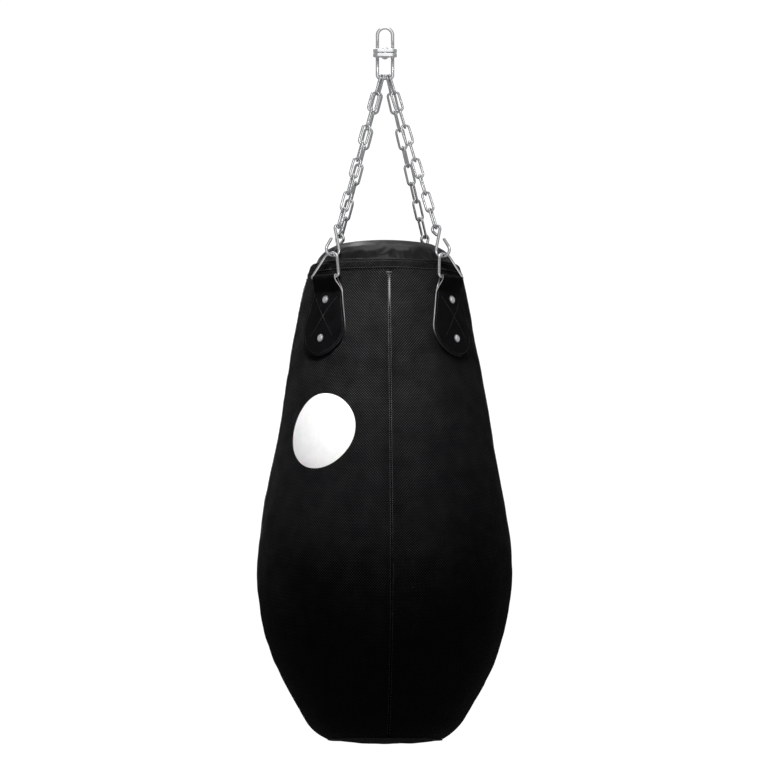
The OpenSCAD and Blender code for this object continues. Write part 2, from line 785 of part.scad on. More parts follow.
zip_tape(true);  // zip_tape_rear
zip_teeth_chain();
zip_stops();
zip_slider();
zip_pull();
bottom_cap();
bottom_piping();
inner_liner();
foam_wrap();
textile_core();
target_patch();
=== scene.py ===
"""Looks of the heavy punching bag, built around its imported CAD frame.

Lengths are in metres, and MM turns millimetres into them. An azimuth is measured from the front
(-Y) towards the right (+X). Places on the bag's side are given by an azimuth and a length s along
the side outline, from the rim down.
"""

import json
import math

import bmesh
import bpy
import numpy as np
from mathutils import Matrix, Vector
from mathutils.bvhtree import BVHTree
from mathutils.geometry import delaunay_2d_cdt


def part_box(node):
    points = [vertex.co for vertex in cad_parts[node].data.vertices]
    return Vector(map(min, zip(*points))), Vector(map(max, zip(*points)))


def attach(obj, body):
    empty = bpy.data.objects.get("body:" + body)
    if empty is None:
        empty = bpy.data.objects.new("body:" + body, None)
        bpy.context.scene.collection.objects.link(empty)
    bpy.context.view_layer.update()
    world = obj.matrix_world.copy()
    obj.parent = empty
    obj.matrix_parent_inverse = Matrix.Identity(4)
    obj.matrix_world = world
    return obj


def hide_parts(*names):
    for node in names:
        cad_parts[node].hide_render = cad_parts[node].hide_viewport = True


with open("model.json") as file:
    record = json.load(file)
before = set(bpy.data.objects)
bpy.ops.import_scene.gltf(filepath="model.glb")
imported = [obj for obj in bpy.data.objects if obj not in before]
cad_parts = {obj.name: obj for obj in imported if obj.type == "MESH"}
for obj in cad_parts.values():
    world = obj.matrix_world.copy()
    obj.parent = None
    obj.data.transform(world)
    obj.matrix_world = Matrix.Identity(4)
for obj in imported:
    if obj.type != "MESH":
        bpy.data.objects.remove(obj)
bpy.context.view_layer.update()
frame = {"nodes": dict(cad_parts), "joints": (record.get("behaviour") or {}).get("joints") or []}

MM = 0.001
JOINTS = {j["name"]: j for j in frame["joints"]}
SIDES = ["front_left", "front_right", "rear_left", "rear_right"]


# ---------------------------------------------------------------- small helpers

def unit(v):
    v = np.asarray(v, float)
    return v / np.maximum(np.linalg.norm(v, axis=-1, keepdims=True), 1e-12)


def vertices_of(mesh):
    return np.array([v.co for v in mesh.vertices], float)


def cad_points(node):
    return vertices_of(frame["nodes"][node].data)


def azimuth_of(point):
    return math.degrees(math.atan2(point[0], -point[1]))


def lengths_along(line):
    """How far along a line of points each of them is."""
    return np.concatenate([[0], np.cumsum(np.linalg.norm(np.diff(line, axis=0), axis=1))])


def circle(steps):
    """Evenly spaced angles around a full turn."""
    return np.arange(steps) * 2 * math.pi / steps


def cad_tree(node):
    mesh = frame["nodes"][node].data
    return BVHTree.FromPolygons([v.co for v in mesh.vertices], [p.vertices for p in mesh.polygons])


def waves(seed, wavelength, count=14):
    """A smooth field over space with a mean of 0 and a spread of about 1, as a sum of sine waves."""
    draw = np.random.default_rng(seed)
    ways = unit(draw.normal(size=(count, 3)))
    rates = 2 * math.pi / (wavelength * draw.uniform(0.75, 1.4, count))
    phases = draw.uniform(0, 2 * math.pi, count)
    return lambda p: np.sin(p @ (ways * rates[:, None]).T + phases).sum(-1) / math.sqrt(count / 2)


def smoothstep(low, high, x):
    t = np.clip((x - low) / (high - low), 0, 1)
    return t * t * (3 - 2 * t)


def new_mesh(name, points, faces):
    mesh = bpy.data.meshes.new(name)
    mesh.from_pydata([tuple(p) for p in np.asarray(points).reshape(-1, 3)], [], faces)
    return mesh


def new_object(name, data):
    made = bpy.data.objects.new(name, data)
    bpy.context.scene.collection.objects.link(made)
    return made


def add_mesh(name, points, faces, material, body, slot,
             flat=None, rim=None, turn=False, sharp=None, node=None):
    """A mesh piece that rides on a body.

    material is a key of MATERIALS. flat gives each point's place on the flat leather, in metres, and
    is repeated for the second layer of a slab. rim marks the faces that show a raw edge. turn turns
    the faces outward, sharp is the angle from which edges stay crisp, and node is the CAD node that
    the piece replaces.
    """
    mesh = new_mesh(name, points, faces)
    mesh.materials.append(MATERIALS[material])
    mesh.polygons.foreach_set("use_smooth", [True] * len(mesh.polygons))
    if rim is not None:
        mesh.materials.append(MATERIALS["raw"])
        mesh.polygons.foreach_set("material_index", rim)
    if flat is not None:
        layer = mesh.uv_layers.new(name="flat")
        corners = np.zeros(len(mesh.loops), int)
        mesh.loops.foreach_get("vertex_index", corners)
        flat = np.asarray(flat, np.float32).reshape(-1, 2)
        layer.data.foreach_set("uv", flat[corners % len(flat)].ravel())
    mesh.update()
    piece = new_object(name, mesh)
    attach(piece, body)
    if turn:
        face_outward(piece)
    if sharp:
        sharpen(piece, sharp)
    if node:
        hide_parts(node)
    return piece


def face_outward(piece):
    """Turns all faces of a closed piece outward."""
    made = bmesh.new()
    made.from_mesh(piece.data)
    bmesh.ops.recalc_face_normals(made, faces=made.faces)
    made.to_mesh(piece.data)
    made.free()


def use_modifier(piece, kind, **settings):
    """Adds a modifier and applies it."""
    made = piece.modifiers.new(kind.lower(), kind)
    for key, value in settings.items():
        setattr(made, key, value)
    bpy.context.view_layer.objects.active = piece
    with bpy.context.temp_override(object=piece, active_object=piece, selected_objects=[piece]):
        bpy.ops.object.modifier_apply(modifier=made.name)


def sharpen(piece, degrees):
    """Keeps edges sharper than this angle crisp and shades the rest smooth."""
    piece.data.set_sharp_from_angle(angle=math.radians(degrees))


def ring_faces(rings, sides, first=0, loop=False, ends=False):
    """Faces from ring to ring of points. loop joins the last to the first, ends closes both."""
    faces = []
    for i in range(rings if loop else rings - 1):
        a, b = first + i * sides, first + (i + 1) % rings * sides
        faces += [(a + j, a + (j + 1) % sides, b + (j + 1) % sides, b + j) for j in range(sides)]
    if ends:
        faces += [tuple(range(sides - 1, -1, -1)), tuple((rings - 1) * sides + j for j in range(sides))]
    return faces


def slab(outer, inner, wrap=False):
    """Points and faces of a closed solid between two point grids; its rim faces come last."""
    rows, columns = outer.shape[:2]
    n, last = rows * columns, (rows - 1) * columns
    faces = []
    steps = [(j, (j + 1) % columns) for j in range(columns if wrap else columns - 1)]
    for i in range(0, last, columns):
        for j, k in steps:
            a, b, c, d = i + j, i + k, i + columns + k, i + columns + j
            faces += [(a, b, c, d), (n + d, n + c, n + b, n + a)]
    for j, k in steps:
        faces += [(k, j, n + j, n + k), (last + j, last + k, n + last + k, n + last + j)]
    if not wrap:
        for i in range(0, last, columns):
            a, b, c, d = i, i + columns, i + columns - 1, i + 2 * columns - 1
            faces += [(a, b, n + b, n + a), (d, c, n + c, n + d)]
    return np.concatenate([outer.reshape(-1, 3), inner.reshape(-1, 3)]), faces


def disc(outer, inner, centre, inner_centre):
    """A round slab: two grids of rings around their centres, from the inmost ring out."""
    rings, spokes = outer.shape[:2]
    points, faces = slab(outer, inner, wrap=True)
    hub, n = len(points), rings * spokes
    faces = [f for f in faces if not (max(f[:2]) < spokes and min(f[2:]) >= n)]
    for j in range(spokes):
        k = (j + 1) % spokes
        faces += [(hub, j, k), (hub + 1, n + k, n + j)]
    return np.concatenate([points, [centre, inner_centre]]), faces


def tube(line, radius, closed=False, sides=16, first_side=None):
    """A wire along a line of points. radius is one number or one for each point; open ends are domed."""
    line = np.asarray(line, float)
    n = len(line)
    radius = np.broadcast_to(np.asarray(radius, float), (n,)).copy()
    if not closed:
        ways = np.gradient(line, axis=0)
        caps = [0.35, 0.75, 0.94]
        start = [line[0] - unit(ways[0]) * radius[0] * math.sqrt(1 - c * c) for c in caps]
        end = [line[-1] + unit(ways[-1]) * radius[-1] * math.sqrt(1 - c * c) for c in caps[::-1]]
        radius = np.concatenate([radius[0] * np.array(caps), radius, radius[-1] * np.array(caps[::-1])])
        line = np.concatenate([start, line, end])
        n = len(line)
        ways = unit(np.gradient(line, axis=0))
    else:
        ways = unit(np.roll(line, -1, 0) - np.roll(line, 1, 0))
    side = np.array(first_side if first_side is not None else [0.31, 0.17, 0.94], float)
    side = unit(side - (side @ ways[0]) * ways[0])
    rings = []
    angles = circle(sides)[:, None]
    for i in range(n):
        side = unit(side - (side @ ways[i]) * ways[i])
        other = np.cross(ways[i], side)
        rings.append(line[i] + radius[i] * (np.cos(angles) * side + np.sin(angles) * other))
    faces = ring_faces(n, sides, ends=not closed)
    if closed:
        turned = unit(side - (side @ ways[0]) * ways[0])
        first = unit(rings[0][0] - line[0])
        other = np.cross(ways[0], first)
        shift = int(round(math.atan2(turned @ other, turned @ first) / (2 * math.pi) * sides))
        last = (n - 1) * sides
        for j in range(sides):
            k = (j + 1) % sides
            faces.append((last + j, last + k, (k + shift) % sides, (j + shift) % sides))
    return np.concatenate(rings), faces


def joined(parts):
    """One list of points and one of faces, from several (points, faces)."""
    points, faces, n = [], [], 0
    for p, f in parts:
        points.append(np.asarray(p, float))
        faces += [tuple(n + i for i in face) for face in f]
        n += len(p)
    return np.concatenate(points), faces


def arc(centre, radius, start, end, steps):
    a = np.radians(np.linspace(start, end, steps))
    return np.stack([centre[0] + radius * np.cos(a), centre[1] + radius * np.sin(a)], -1)


def placed(plane, origin, x, y):
    """Points of a plane, set in space by an origin and two directions."""
    plane = np.asarray(plane, float)
    return origin + plane[:, :1] * x + plane[:, 1:] * y


# ---------------------------------------------------------------- materials

class Material:
    """A node material: its Principled shader, and short ways to add nodes."""

    def __init__(self, name, colour, roughness, metallic=0.0, **sockets):
        self.made = bpy.data.materials.new(name)
        self.made.use_nodes = True
        self.tree = self.made.node_tree
        self.shader = self.tree.nodes["Principled BSDF"]
        sockets |= {"Base Color": colour, "Roughness": roughness, "Metallic": metallic}
        for key, value in sockets.items():
            self.put(self.shader.inputs[key], value)

    def put(self, socket, value):
        if isinstance(value, bpy.types.NodeSocket):
            self.tree.links.new(value, socket)
        elif socket.type == "RGBA" and isinstance(value, (int, float)):
            socket.default_value = (value, value, value, 1)
        elif socket.type == "RGBA":
            socket.default_value = (*value, 1)
        else:
            socket.default_value = value

    def node(self, kind, settings=None, out=0, at=None, **inputs):
        """Adds a node, with its inputs by name, or by number in at, and returns one of its outputs."""
        made = self.tree.nodes.new("ShaderNode" + kind)
        for key, value in (settings or {}).items():
            setattr(made, key, value)
        named = {key.replace("_", " "): value for key, value in inputs.items()}
        for key, value in {**named, **(at or {})}.items():
            self.put(made.inputs[key], value)
        return made.outputs[out]

    def look(self, colour, roughness, normal, coat=False):
        """Connects what a surface looks like, and returns the finished material."""
        for key, value in {"Base Color": colour, "Roughness": roughness, "Normal": normal}.items():
            self.put(self.shader.inputs[key], value)
        if coat:
            self.put(self.shader.inputs["Coat Normal"], normal)
        return self.made

    def math(self, operation, a, b=0.0):
        return self.node("Math", {"operation": operation}, at={0: a, 1: b})

    def place(self):
        return self.node("TexCoord", out=3)

    def noise(self, scale, detail=4.0, roughness=0.55):
        return self.node("TexNoise", Vector=self.place(), Scale=scale, Detail=detail, Roughness=roughness)

    def between(self, factor, low, high, start=0.0, end=1.0):
        return self.node("MapRange", Value=factor, From_Min=start, From_Max=end, To_Min=low, To_Max=high)

    def blend(self, factor, a, b):
        """A colour between a and b, which are inputs 6 and 7 of a mix of colours."""
        return self.node("Mix", {"data_type": "RGBA"}, out=2, at={0: factor, 6: a, 7: b})

    def bump(self, height, distance, strength=1.0, under=None):
        below = {} if under is None else {"Normal": under}
        return self.node("Bump", Height=height, Distance=distance, Strength=strength, **below)

    def weave(self, pitch, diagonal=True):
        """Heights of a plain weave over the flat leather: each yarn goes over one and under the next."""
        flat = self.node("UVMap", {"uv_map": "flat"})
        split = self.tree.nodes.new("ShaderNodeSeparateXYZ")
        self.tree.links.new(flat, split.inputs[0])
        u, v = split.outputs[0], split.outputs[1]
        rate = math.pi / pitch
        if diagonal:
            rate /= math.sqrt(2)
            u, v = self.math("ADD", u, v), self.math("SUBTRACT", split.outputs[0], split.outputs[1])
        warp = self.math("SINE", self.math("MULTIPLY", u, rate))
        weft = self.math("SINE", self.math("MULTIPLY", v, rate))
        over = self.math("GREATER_THAN", self.math("MULTIPLY", warp, weft), 0.0)
        a, b = self.math("ABSOLUTE", warp), self.math("ABSOLUTE", weft)
        crown_a = self.math("MULTIPLY", a, self.math("SQRT", b))
        crown_b = self.math("MULTIPLY", b, self.math("SQRT", a))
        return self.node("Mix", at={0: over, 2: crown_a, 3: crown_b})


def steel(name, colour, roughness, grime):
    """Zinc or nickel plate: cloudy tone, fine scratches, and duller patches."""
    m = Material(name, colour, roughness, 1.0)
    clouds = m.noise(55, 5)
    fine = m.noise(900, 3)
    dark = tuple(c * (1 - grime) for c in colour)
    return m.look(m.blend(m.between(clouds, 0, 1, 0.35, 0.7), colour, dark),
                  m.between(clouds, roughness * 0.75, roughness * 1.35, 0.3, 0.7),
                  m.bump(fine, 0.03 * MM, 0.5))


def coated(weight, roughness):
    """Sockets of a thin coat over a surface that has no shine of its own."""
    return {"Specular IOR Level": 0.0, "Coat Weight": weight, "Coat Roughness": roughness}


def shell_leather(name, sheen_and_wear_tone):
    """Black coated leather, embossed with a fine diagonal weave; its crowns are lighter, a painted sheen
    that scuffs of wear make patchy.
    """
    m = Material(name, 0.012, 0.45, **coated(0.06, 0.36))
    weave = m.weave(3.8 * MM)
    scuffs = m.noise(28, 6, 0.6)
    grain = m.noise(1500, 3)
    # Lighter crowns: a painted sheen on the weave, made patchy by scuffs of wear.
    crowns = m.math("POWER", weave, 4.5)
    painted_sheen_and_wear = m.math("MULTIPLY", crowns, m.between(scuffs, 0.45, 1.0, 0.35, 0.7))
    return m.look(m.blend(painted_sheen_and_wear, (0.0002, 0.0002, 0.0003), sheen_and_wear_tone),
                  m.between(scuffs, 0.36, 0.48, 0.35, 0.7),
                  m.bump(grain, 0.05 * MM, 0.35, under=m.bump(weave, 0.5 * MM)), coat=True)


def plain_leather(name, low, high, roughness, grain_size=700, coat=0.3):
    """Leather with a pebbled grain and soft creases; its tone follows the creases, darker in their hollows
    as painted shade.
    """
    m = Material(name, high, roughness, **coated(coat, roughness))
    cells = m.node("TexVoronoi", out="Distance", Vector=m.place(), Scale=grain_size)
    creases = m.noise(60, 6, 0.65)
    # The tone follows the crease bump: darker in its hollows, a painted shade, and lighter on its crests.
    return m.look(m.blend(m.between(creases, 0, 1, 0.3, 0.7), low, high),
                  m.between(creases, roughness * 0.88, roughness * 1.1, 0.3, 0.7),
                  m.bump(creases, 0.5 * MM, 0.4, under=m.bump(cells, 0.12 * MM, 0.5)), coat=True)


def fibre(name, low, high, scale=1300):
    """Raw leather edges and thread: a fine, dry fibre."""
    m = Material(name, high, 0.9)
    fibres = m.noise(scale, 4, 0.7)
    return m.look(m.blend(m.between(fibres, 0, 1, 0.35, 0.65), low, high),
                  m.between(fibres, 0.8, 0.98), m.bump(fibres, 0.15 * MM, 0.6))


def webbing(name, low, high, pitch):
    """A woven tape, with its yarns square to its length; its yarns' crowns are lighter and the dips between
    them darker, as painted highlight and shade.
    """
    m = Material(name, high, 0.75)
    weave = m.weave(pitch, diagonal=False)
    fuzz = m.noise(1200, 3)
    # Colour follows the weave's height: lighter crowns and darker dips, painted highlight and painted
    # shade.
    return m.look(m.blend(weave, low, high), m.between(fuzz, 0.65, 0.85), m.bump(weave, 0.3 * MM, 0.9))


def cloth(name, low, high, roughness=0.9, scale=420):
    """Loose cloth, packed offcuts or foam, with its texture in space."""
    m = Material(name, high, roughness)
    knots = m.noise(scale, 6, 0.7)
    patches = m.noise(30, 3)
    return m.look(m.blend(m.between(patches, 0, 1, 0.3, 0.7), low, high),
                  m.between(knots, roughness * 0.9, min(1.0, roughness * 1.08)),
                  m.bump(knots, 0.4 * MM, 0.7))


MATERIALS = {
    "steel": steel("swivel_steel", (0.86, 0.87, 0.88), 0.28, 0.18),
    "chain": steel("chain_steel", (0.70, 0.71, 0.72), 0.24, 0.24),
    "hook": steel("hook_steel", (0.72, 0.73, 0.74), 0.20, 0.20),
    "rivet": steel("rivet_nickel", (0.92, 0.92, 0.93), 0.22, 0.08),
    # The number after the shell's and hem's names is how bright the painted sheen on their weave crowns is;
    # the hem's is dimmer.
    "shell": shell_leather("shell_leather", 0.085),
    "hem": shell_leather("hem_leather", 0.048),
    "lid": plain_leather("lid_leather", 0.001, 0.004, 0.30, coat=0.55),
    "piping": plain_leather("piping_leather", 0.008, 0.024, 0.42),
    "strap": plain_leather("strap_leather", (0.0012, 0.0012, 0.0014), (0.0034, 0.0034, 0.0037), 0.45,
                           coat=0.12),
    "raw": fibre("raw_edge", 0.15, 0.42),
    "thread": fibre("thread", 0.10, 0.30, 2400),
    "dark_thread": fibre("dark_thread", 0.02, 0.07, 2400),
    "tape": webbing("zip_tape", 0.006, 0.028, 0.9 * MM),
    "patch": plain_leather("patch_leather", 0.84, 0.92, 0.42),
    "teeth": plain_leather("zip_plastic", 0.012, 0.03, 0.38, 1500),
    "liner": cloth("liner_cloth", 0.16, 0.26),
    "foam": cloth("foam", 0.52, 0.66, 0.95, 900),
    "textile": cloth("textile_offcuts", 0.10, 0.42, 0.95, 160),
}


# ---------------------------------------------------------------- the bag's side

def cad_outline():
    """The outer outline of the panels, each (radius, z) from the rim down, read from one of them."""
    tree = cad_tree("panel_front_left")
    azimuth = math.radians(-20)
    way = Vector((math.sin(azimuth), -math.cos(azimuth), 0))
    points = cad_points("panel_front_left")
    places = np.stack([np.hypot(points[:, 0], points[:, 1]), points[:, 2]], -1)
    found = np.unique(np.round(places, 5), axis=0)
    found = found[np.argsort(-found[:, 1])]
    middle = (found[0, 1] + found[-1, 1]) / 2
    kept = []
    for r, z in found:
        inward = -0.02 * MM if z > middle else 0.02 * MM
        hit = tree.ray_cast(Vector((0, 0, z + inward)) + way * 0.5, -way)[0]
        if hit is not None and abs(math.hypot(hit.x, hit.y) - r) < 0.25 * MM:
            if not kept or math.hypot(kept[-1][0] - r, kept[-1][1] - z) > 2 * MM:
                kept.append((r, z))
    return np.array(kept)


def hermite(a, b, way_a, way_b, t):
    """Places on a smooth curve from a to b, for shares t of the way."""
    return ((2 * t**3 - 3 * t**2 + 1) * a + (t**3 - 2 * t**2 + t) * way_a
            + (3 * t**2 - 2 * t**3) * b + (t**3 - t**2) * way_b)


def smooth_line(points, count):
    """Evenly spaced points on a smooth curve through the given ones, with their lengths along it."""
    knots = lengths_along(points)
    slopes = np.gradient(points, knots, axis=0)
    shares = np.linspace(0, 1, 12, endpoint=False)[:, None]
    fine = []
    for i in range(len(points) - 1):
        h = knots[i + 1] - knots[i]
        fine.append(hermite(points[i], points[i + 1], h * slopes[i], h * slopes[i + 1], shares))
    fine = np.concatenate(fine + [points[-1:]])
    lengths = lengths_along(fine)
    even = np.linspace(0, lengths[-1], count)
    line = np.stack([np.interp(even, lengths, fine[:, i]) for i in (0, 1)], -1)
    reach = 24
    kernel = np.exp(-(np.arange(-reach, reach + 1) / 9) ** 2 / 2)
    start = 2 * line[0] - line[reach:0:-1]
    end = 2 * line[-1] - line[-2:-reach - 2:-1]
    padded = np.concatenate([start, line, end])
    line = np.stack([np.convolve(padded[:, i], kernel / kernel.sum(), "valid") for i in (0, 1)], -1)
    return line, even


OUTLINE, ALONG = smooth_line(cad_outline(), 1200)
SIDE_LENGTH = ALONG[-1]
WAYS = unit(np.gradient(OUTLINE, axis=0))


def radius_at(s):
    return np.interp(s, ALONG, OUTLINE[:, 0])


def height_at(s):
    return np.interp(s, ALONG, OUTLINE[:, 1])


def outward_at(s):
    return unit(np.stack([-np.interp(s, ALONG, WAYS[:, 1]), np.interp(s, ALONG, WAYS[:, 0])], -1))


def s_at_height(z):
    return np.interp(-np.asarray(z, float), -OUTLINE[:, 1], ALONG)


def s_near(r, z):
    return ALONG[np.argmin((OUTLINE[:, 0] - r) ** 2 + (OUTLINE[:, 1] - z) ** 2)]


def turned_to(azimuth, r, z):
    """Points, or directions, from an azimuth in degrees, a radius and a height."""
    a, r, z = np.broadcast_arrays(np.radians(azimuth), r, z)
    return np.stack([r * np.sin(a), -r * np.cos(a), z], -1)


def on_side(azimuth, s, offset):
    """Points on the bag's side, at an offset outward from its outline."""
    n = outward_at(s)
    return turned_to(azimuth, radius_at(s) + offset * n[..., 0], height_at(s) + offset * n[..., 1])


def normal_on_side(azimuth, s):
    n = outward_at(s)
    return turned_to(azimuth, n[..., 0], n[..., 1])


def from_seam(azimuth, s):
    """The turn from the nearest seam, in degrees, and the distance to it along the leather."""
    turn = (azimuth + 45) % 90 - 45
    return turn, np.abs(np.radians(turn)) * radius_at(s)


big_lumps = waves(11, 0.24)
small_lumps = waves(12, 0.075)
slack_folds = waves(13, 0.034)
puckers = waves(14, 0.019)


def swell(azimuth, s):
    """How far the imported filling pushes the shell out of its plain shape, or lets it sink."""
    at = on_side(azimuth, s, 0.0)
    ends = smoothstep(0.004, 0.06, s) * smoothstep(SIDE_LENGTH, SIDE_LENGTH - 0.05, s)
    folds = slack_folds(at * np.array([0.22, 0.22, 1.0]))
    low = smoothstep(-1.12, -1.34, at[..., 2])
    turn = (np.asarray(azimuth, float) - 85 + 180) % 360 - 180
    flat_side = np.exp(-(turn / 34) ** 2 - ((at[..., 2] + 1.30) / 0.075) ** 2)
    return ends * (1.5 * MM * big_lumps(at) + 0.45 * MM * small_lumps(at)
                   + (0.12 + 0.35 * low) * MM * folds - 3.0 * MM * flat_side)


def seam_valley(distance):
    return 1.3 * MM * np.exp(-(distance / (11 * MM)) ** 2)


def seam_dip(distance, s, seed):
    """The pull of a seam on the leather beside it: a groove, a soft valley and small puckers."""
    line = np.stack(np.broadcast_arrays(s, 0.31 * seed, distance * 0.25), -1)
    groove = 1.7 * MM * np.exp(-(distance / (1.1 * MM)) ** 2)
    beside = np.exp(-distance / (12 * MM)) * smoothstep(0, 3 * MM, distance)
    return 0.45 * MM * smoothstep(0.0, 0.012, s) * puckers(line) * beside - groove - seam_valley(distance)


# ---------------------------------------------------------------- thread

STITCH_SIDES = 6
STITCH_RINGS = [(-0.5, 0.35, -0.7), (-0.3, 0.9, 0.0), (0.0, 1.0, 0.25), (0.3, 0.9, 0.0), (0.5, 0.35, -0.7)]

# pitch, length and radius of the stitches, and the share of the radius that is in the leather
SEAM_THREAD = (4.3 * MM, 2.8 * MM, 0.46 * MM, 0.1)
BAR_THREAD = (1.1 * MM, 1.0 * MM, 0.9 * MM, 0.1)
HEM_THREAD = (3.6 * MM, 2.7 * MM, 0.42 * MM, 0.0)
EDGE_THREAD = (3.4 * MM, 2.6 * MM, 0.42 * MM, 0.05)
CROSS_THREAD = (3.4 * MM, 2.6 * MM, 0.40 * MM, 0.05)
PATCH_THREAD = (3.4 * MM, 2.6 * MM, 0.4 * MM, 0.1)


def stitches(line, out, thread):
    """Stitches along a line of points, each a short bead. out gives the ways out of the leather."""
    pitch, length, radius, sunk = thread
    line, out = np.asarray(line, float), np.asarray(out, float)
    lengths = lengths_along(line)
    count = max(1, int(lengths[-1] / pitch))
    parts, faces = [], ring_faces(len(STITCH_RINGS), STITCH_SIDES, ends=True)
    angles = circle(STITCH_SIDES)[:, None]

    def at(values, t):
        return np.stack([np.interp(t, lengths, values[:, i]) for i in range(3)], -1)

    for k in range(count):
        middle = (k + 0.5) * lengths[-1] / count
        way = unit(at(line, middle + length / 2) - at(line, middle - length / 2))
        up = unit(at(out, middle))
        up = unit(up - (up @ way) * way)
        side = np.cross(way, up)
        points = []
        for place, size, lift in STITCH_RINGS:
            centre = at(line, middle + place * length) + up * radius * (lift - sunk)
            points.append(centre + radius * size * (np.cos(angles) * up + np.sin(angles) * side))
        parts.append((np.concatenate(points), faces))
    return joined(parts)


# ---------------------------------------------------------------- shell panels

SHELL_ROWS = 250
SHELL_THICKNESS = 2.0 * MM
SEAM_COLUMNS = np.array([0.12, 0.45, 0.8, 1.2, 1.7, 2.3, 3.1, 4.2, 5.6, 7.4, 9.8]) * MM
FIELD_COLUMNS = 34
SEAM_STITCH_AT = 2.15 * MM
SEAMS = {"front": 0, "right": 90, "rear": 180, "left": 270}
WELT_START, WELT_END = 30 * MM, 98 * MM
BAR_TACK_AT = 27.5 * MM


def shell_offset(azimuth, s):
    """Offset of the finished shell: the filling's swell and the seams' dips."""
    turn, distance = from_seam(azimuth, s)
    seed = np.floor((azimuth + 45) / 90) % 4 * 2 + (turn > 0)
    return swell(azimuth, s) + seam_dip(distance, s, seed)


def shell_panel(name, start):
    s = np.linspace(0, SIDE_LENGTH, SHELL_ROWS)[:, None]
    r = radius_at(s)
    half = r * math.pi / 4
    field = SEAM_COLUMNS[-1] + (half - SEAM_COLUMNS[-1]) * np.arange(1, FIELD_COLUMNS + 1) / FIELD_COLUMNS
    near = np.concatenate([np.broadcast_to(SEAM_COLUMNS, (SHELL_ROWS, len(SEAM_COLUMNS))), field], 1)
    across = np.concatenate([near, 2 * half - near[:, -2::-1]], 1)
    azimuth = start + np.degrees(across / r)
    offset = shell_offset(azimuth, s)
    distance = np.minimum(across, 2 * half - across)
    thickness = SHELL_THICKNESS * (0.55 + 0.45 * smoothstep(0, 5 * MM, distance))
    outer, inner = on_side(azimuth, s, offset), on_side(azimuth, s, offset - thickness)
    mirrored = 1 if start in (0, 180) else -1
    flat = np.stack([mirrored * (across - half), np.broadcast_to(s, across.shape)], -1)
    points, faces = slab(outer, inner)
    piece = add_mesh(name, points, [f[::-1] for f in faces], "shell", "bag", "shell_leather", flat=flat,
                     sharp=50, node=name)


for start, name in ((-90, "panel_front_left"), (0, "panel_front_right"),
                    (180, "panel_rear_left"), (90, "panel_rear_right")):
    shell_panel(name, start)


def seam(name, azimuth):
    """Two rows of stitches, a welt that tapers away below the hem, and a bar tack at its top."""
    rows = []
    for side in (-1, 1):
        s = np.linspace(30 * MM, SIDE_LENGTH - 12 * MM, 600)
        turn = azimuth + side * np.degrees(SEAM_STITCH_AT / radius_at(s))
        rows.append(stitches(on_side(turn, s, shell_offset(turn, s)), normal_on_side(turn, s), SEAM_THREAD))
    add_mesh(f"seam_stitches_{name}", *joined(rows), "thread", "bag", "tape")
    s = np.linspace(WELT_START, WELT_END, 120)
    rise = smoothstep(WELT_END, WELT_END - 28 * MM, s) * smoothstep(WELT_START, WELT_START + 22 * MM, s)
    radius = 1.0 * MM * rise + 0.15 * MM + 0.1 * MM * np.sin(s / MM * 2.2)
    line = on_side(azimuth, s, swell(azimuth, s) - 0.9 * MM)
    add_mesh(f"seam_welt_{name}", *tube(line, radius, sides=12), "thread", "bag", "tape")
    bar = np.full(24, BAR_TACK_AT)
    turn = azimuth + np.degrees(np.linspace(-5, 5, 24) * MM / radius_at(BAR_TACK_AT))
    tack = stitches(on_side(turn, bar, swell(turn, bar)), normal_on_side(turn, bar), BAR_THREAD)
    add_mesh(f"bar_tack_{name}", *tack, "thread", "bag", "tape")


for name, azimuth in SEAMS.items():
    seam(name, azimuth)


# ---------------------------------------------------------------- rim: hem band and piping

RING_STEPS = 480
hem_low = s_at_height(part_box("hem_band")[0].z) - 0.6 * MM
rim_sway = waves(21, 0.09)


def around_rim(s, offset):
    """A ring of points around the rim, which sways a little."""
    azimuth = np.arange(RING_STEPS) * 360 / RING_STEPS
    s, offset = np.full(RING_STEPS, float(s)), np.full(RING_STEPS, float(offset))
    at = on_side(azimuth, s, offset + np.maximum(0, swell(azimuth, s)))
    at[:, 2] += 0.5 * MM * rim_sway(at * np.array([1, 1, 0]))
    return at


def hem_band():
    """The band around the rim, given as (length, height) in millimetres, and its two rows of stitches."""
    ridge = [(0.6, 0.35), (0.2, 0.8), (0.6, 1.15), (1.6, 1.3), (3.0, 1.22), (4.0, 0.95), (5.0, 1.15),
             (9.0, 1.05), (13.0, 0.9), (17.0, 0.78), (18.0, 0.6), (19.0, 0.72), (20.2, 0.68), (21.0, 0.55),
             (21.3, 0.35)]
    scale = hem_low / (ridge[-1][0] * MM)
    outer = np.stack([around_rim(a * MM * scale, b * MM) for a, b in ridge])
    inner = np.stack([around_rim(a * MM * scale, 0.1 * MM) for a, b in ridge])
    points, faces = slab(outer, inner, wrap=True)
    azimuth = circle(RING_STEPS)
    around = 0.148 * np.minimum(azimuth, 2 * math.pi - azimuth)
    down = np.array([[a * MM] for a, b in ridge])
    add_mesh("hem_band_visual", points, [f[::-1] for f in faces], "hem", "bag", "shell_leather",
             flat=np.stack(np.broadcast_arrays(around, down), -1), node="hem_band")
    rows = []
    for s in (4.0, 18.0):
        ring = around_rim(s * MM * scale, 1.05 * MM)
        out = normal_on_side(np.arange(RING_STEPS) * 360 / RING_STEPS, np.full(RING_STEPS, s * MM))
        rows.append(stitches(np.concatenate([ring, ring[:1]]), np.concatenate([out, out[:1]]), HEM_THREAD))
    add_mesh("hem_stitches", *joined(rows), "dark_thread", "bag", "tape")


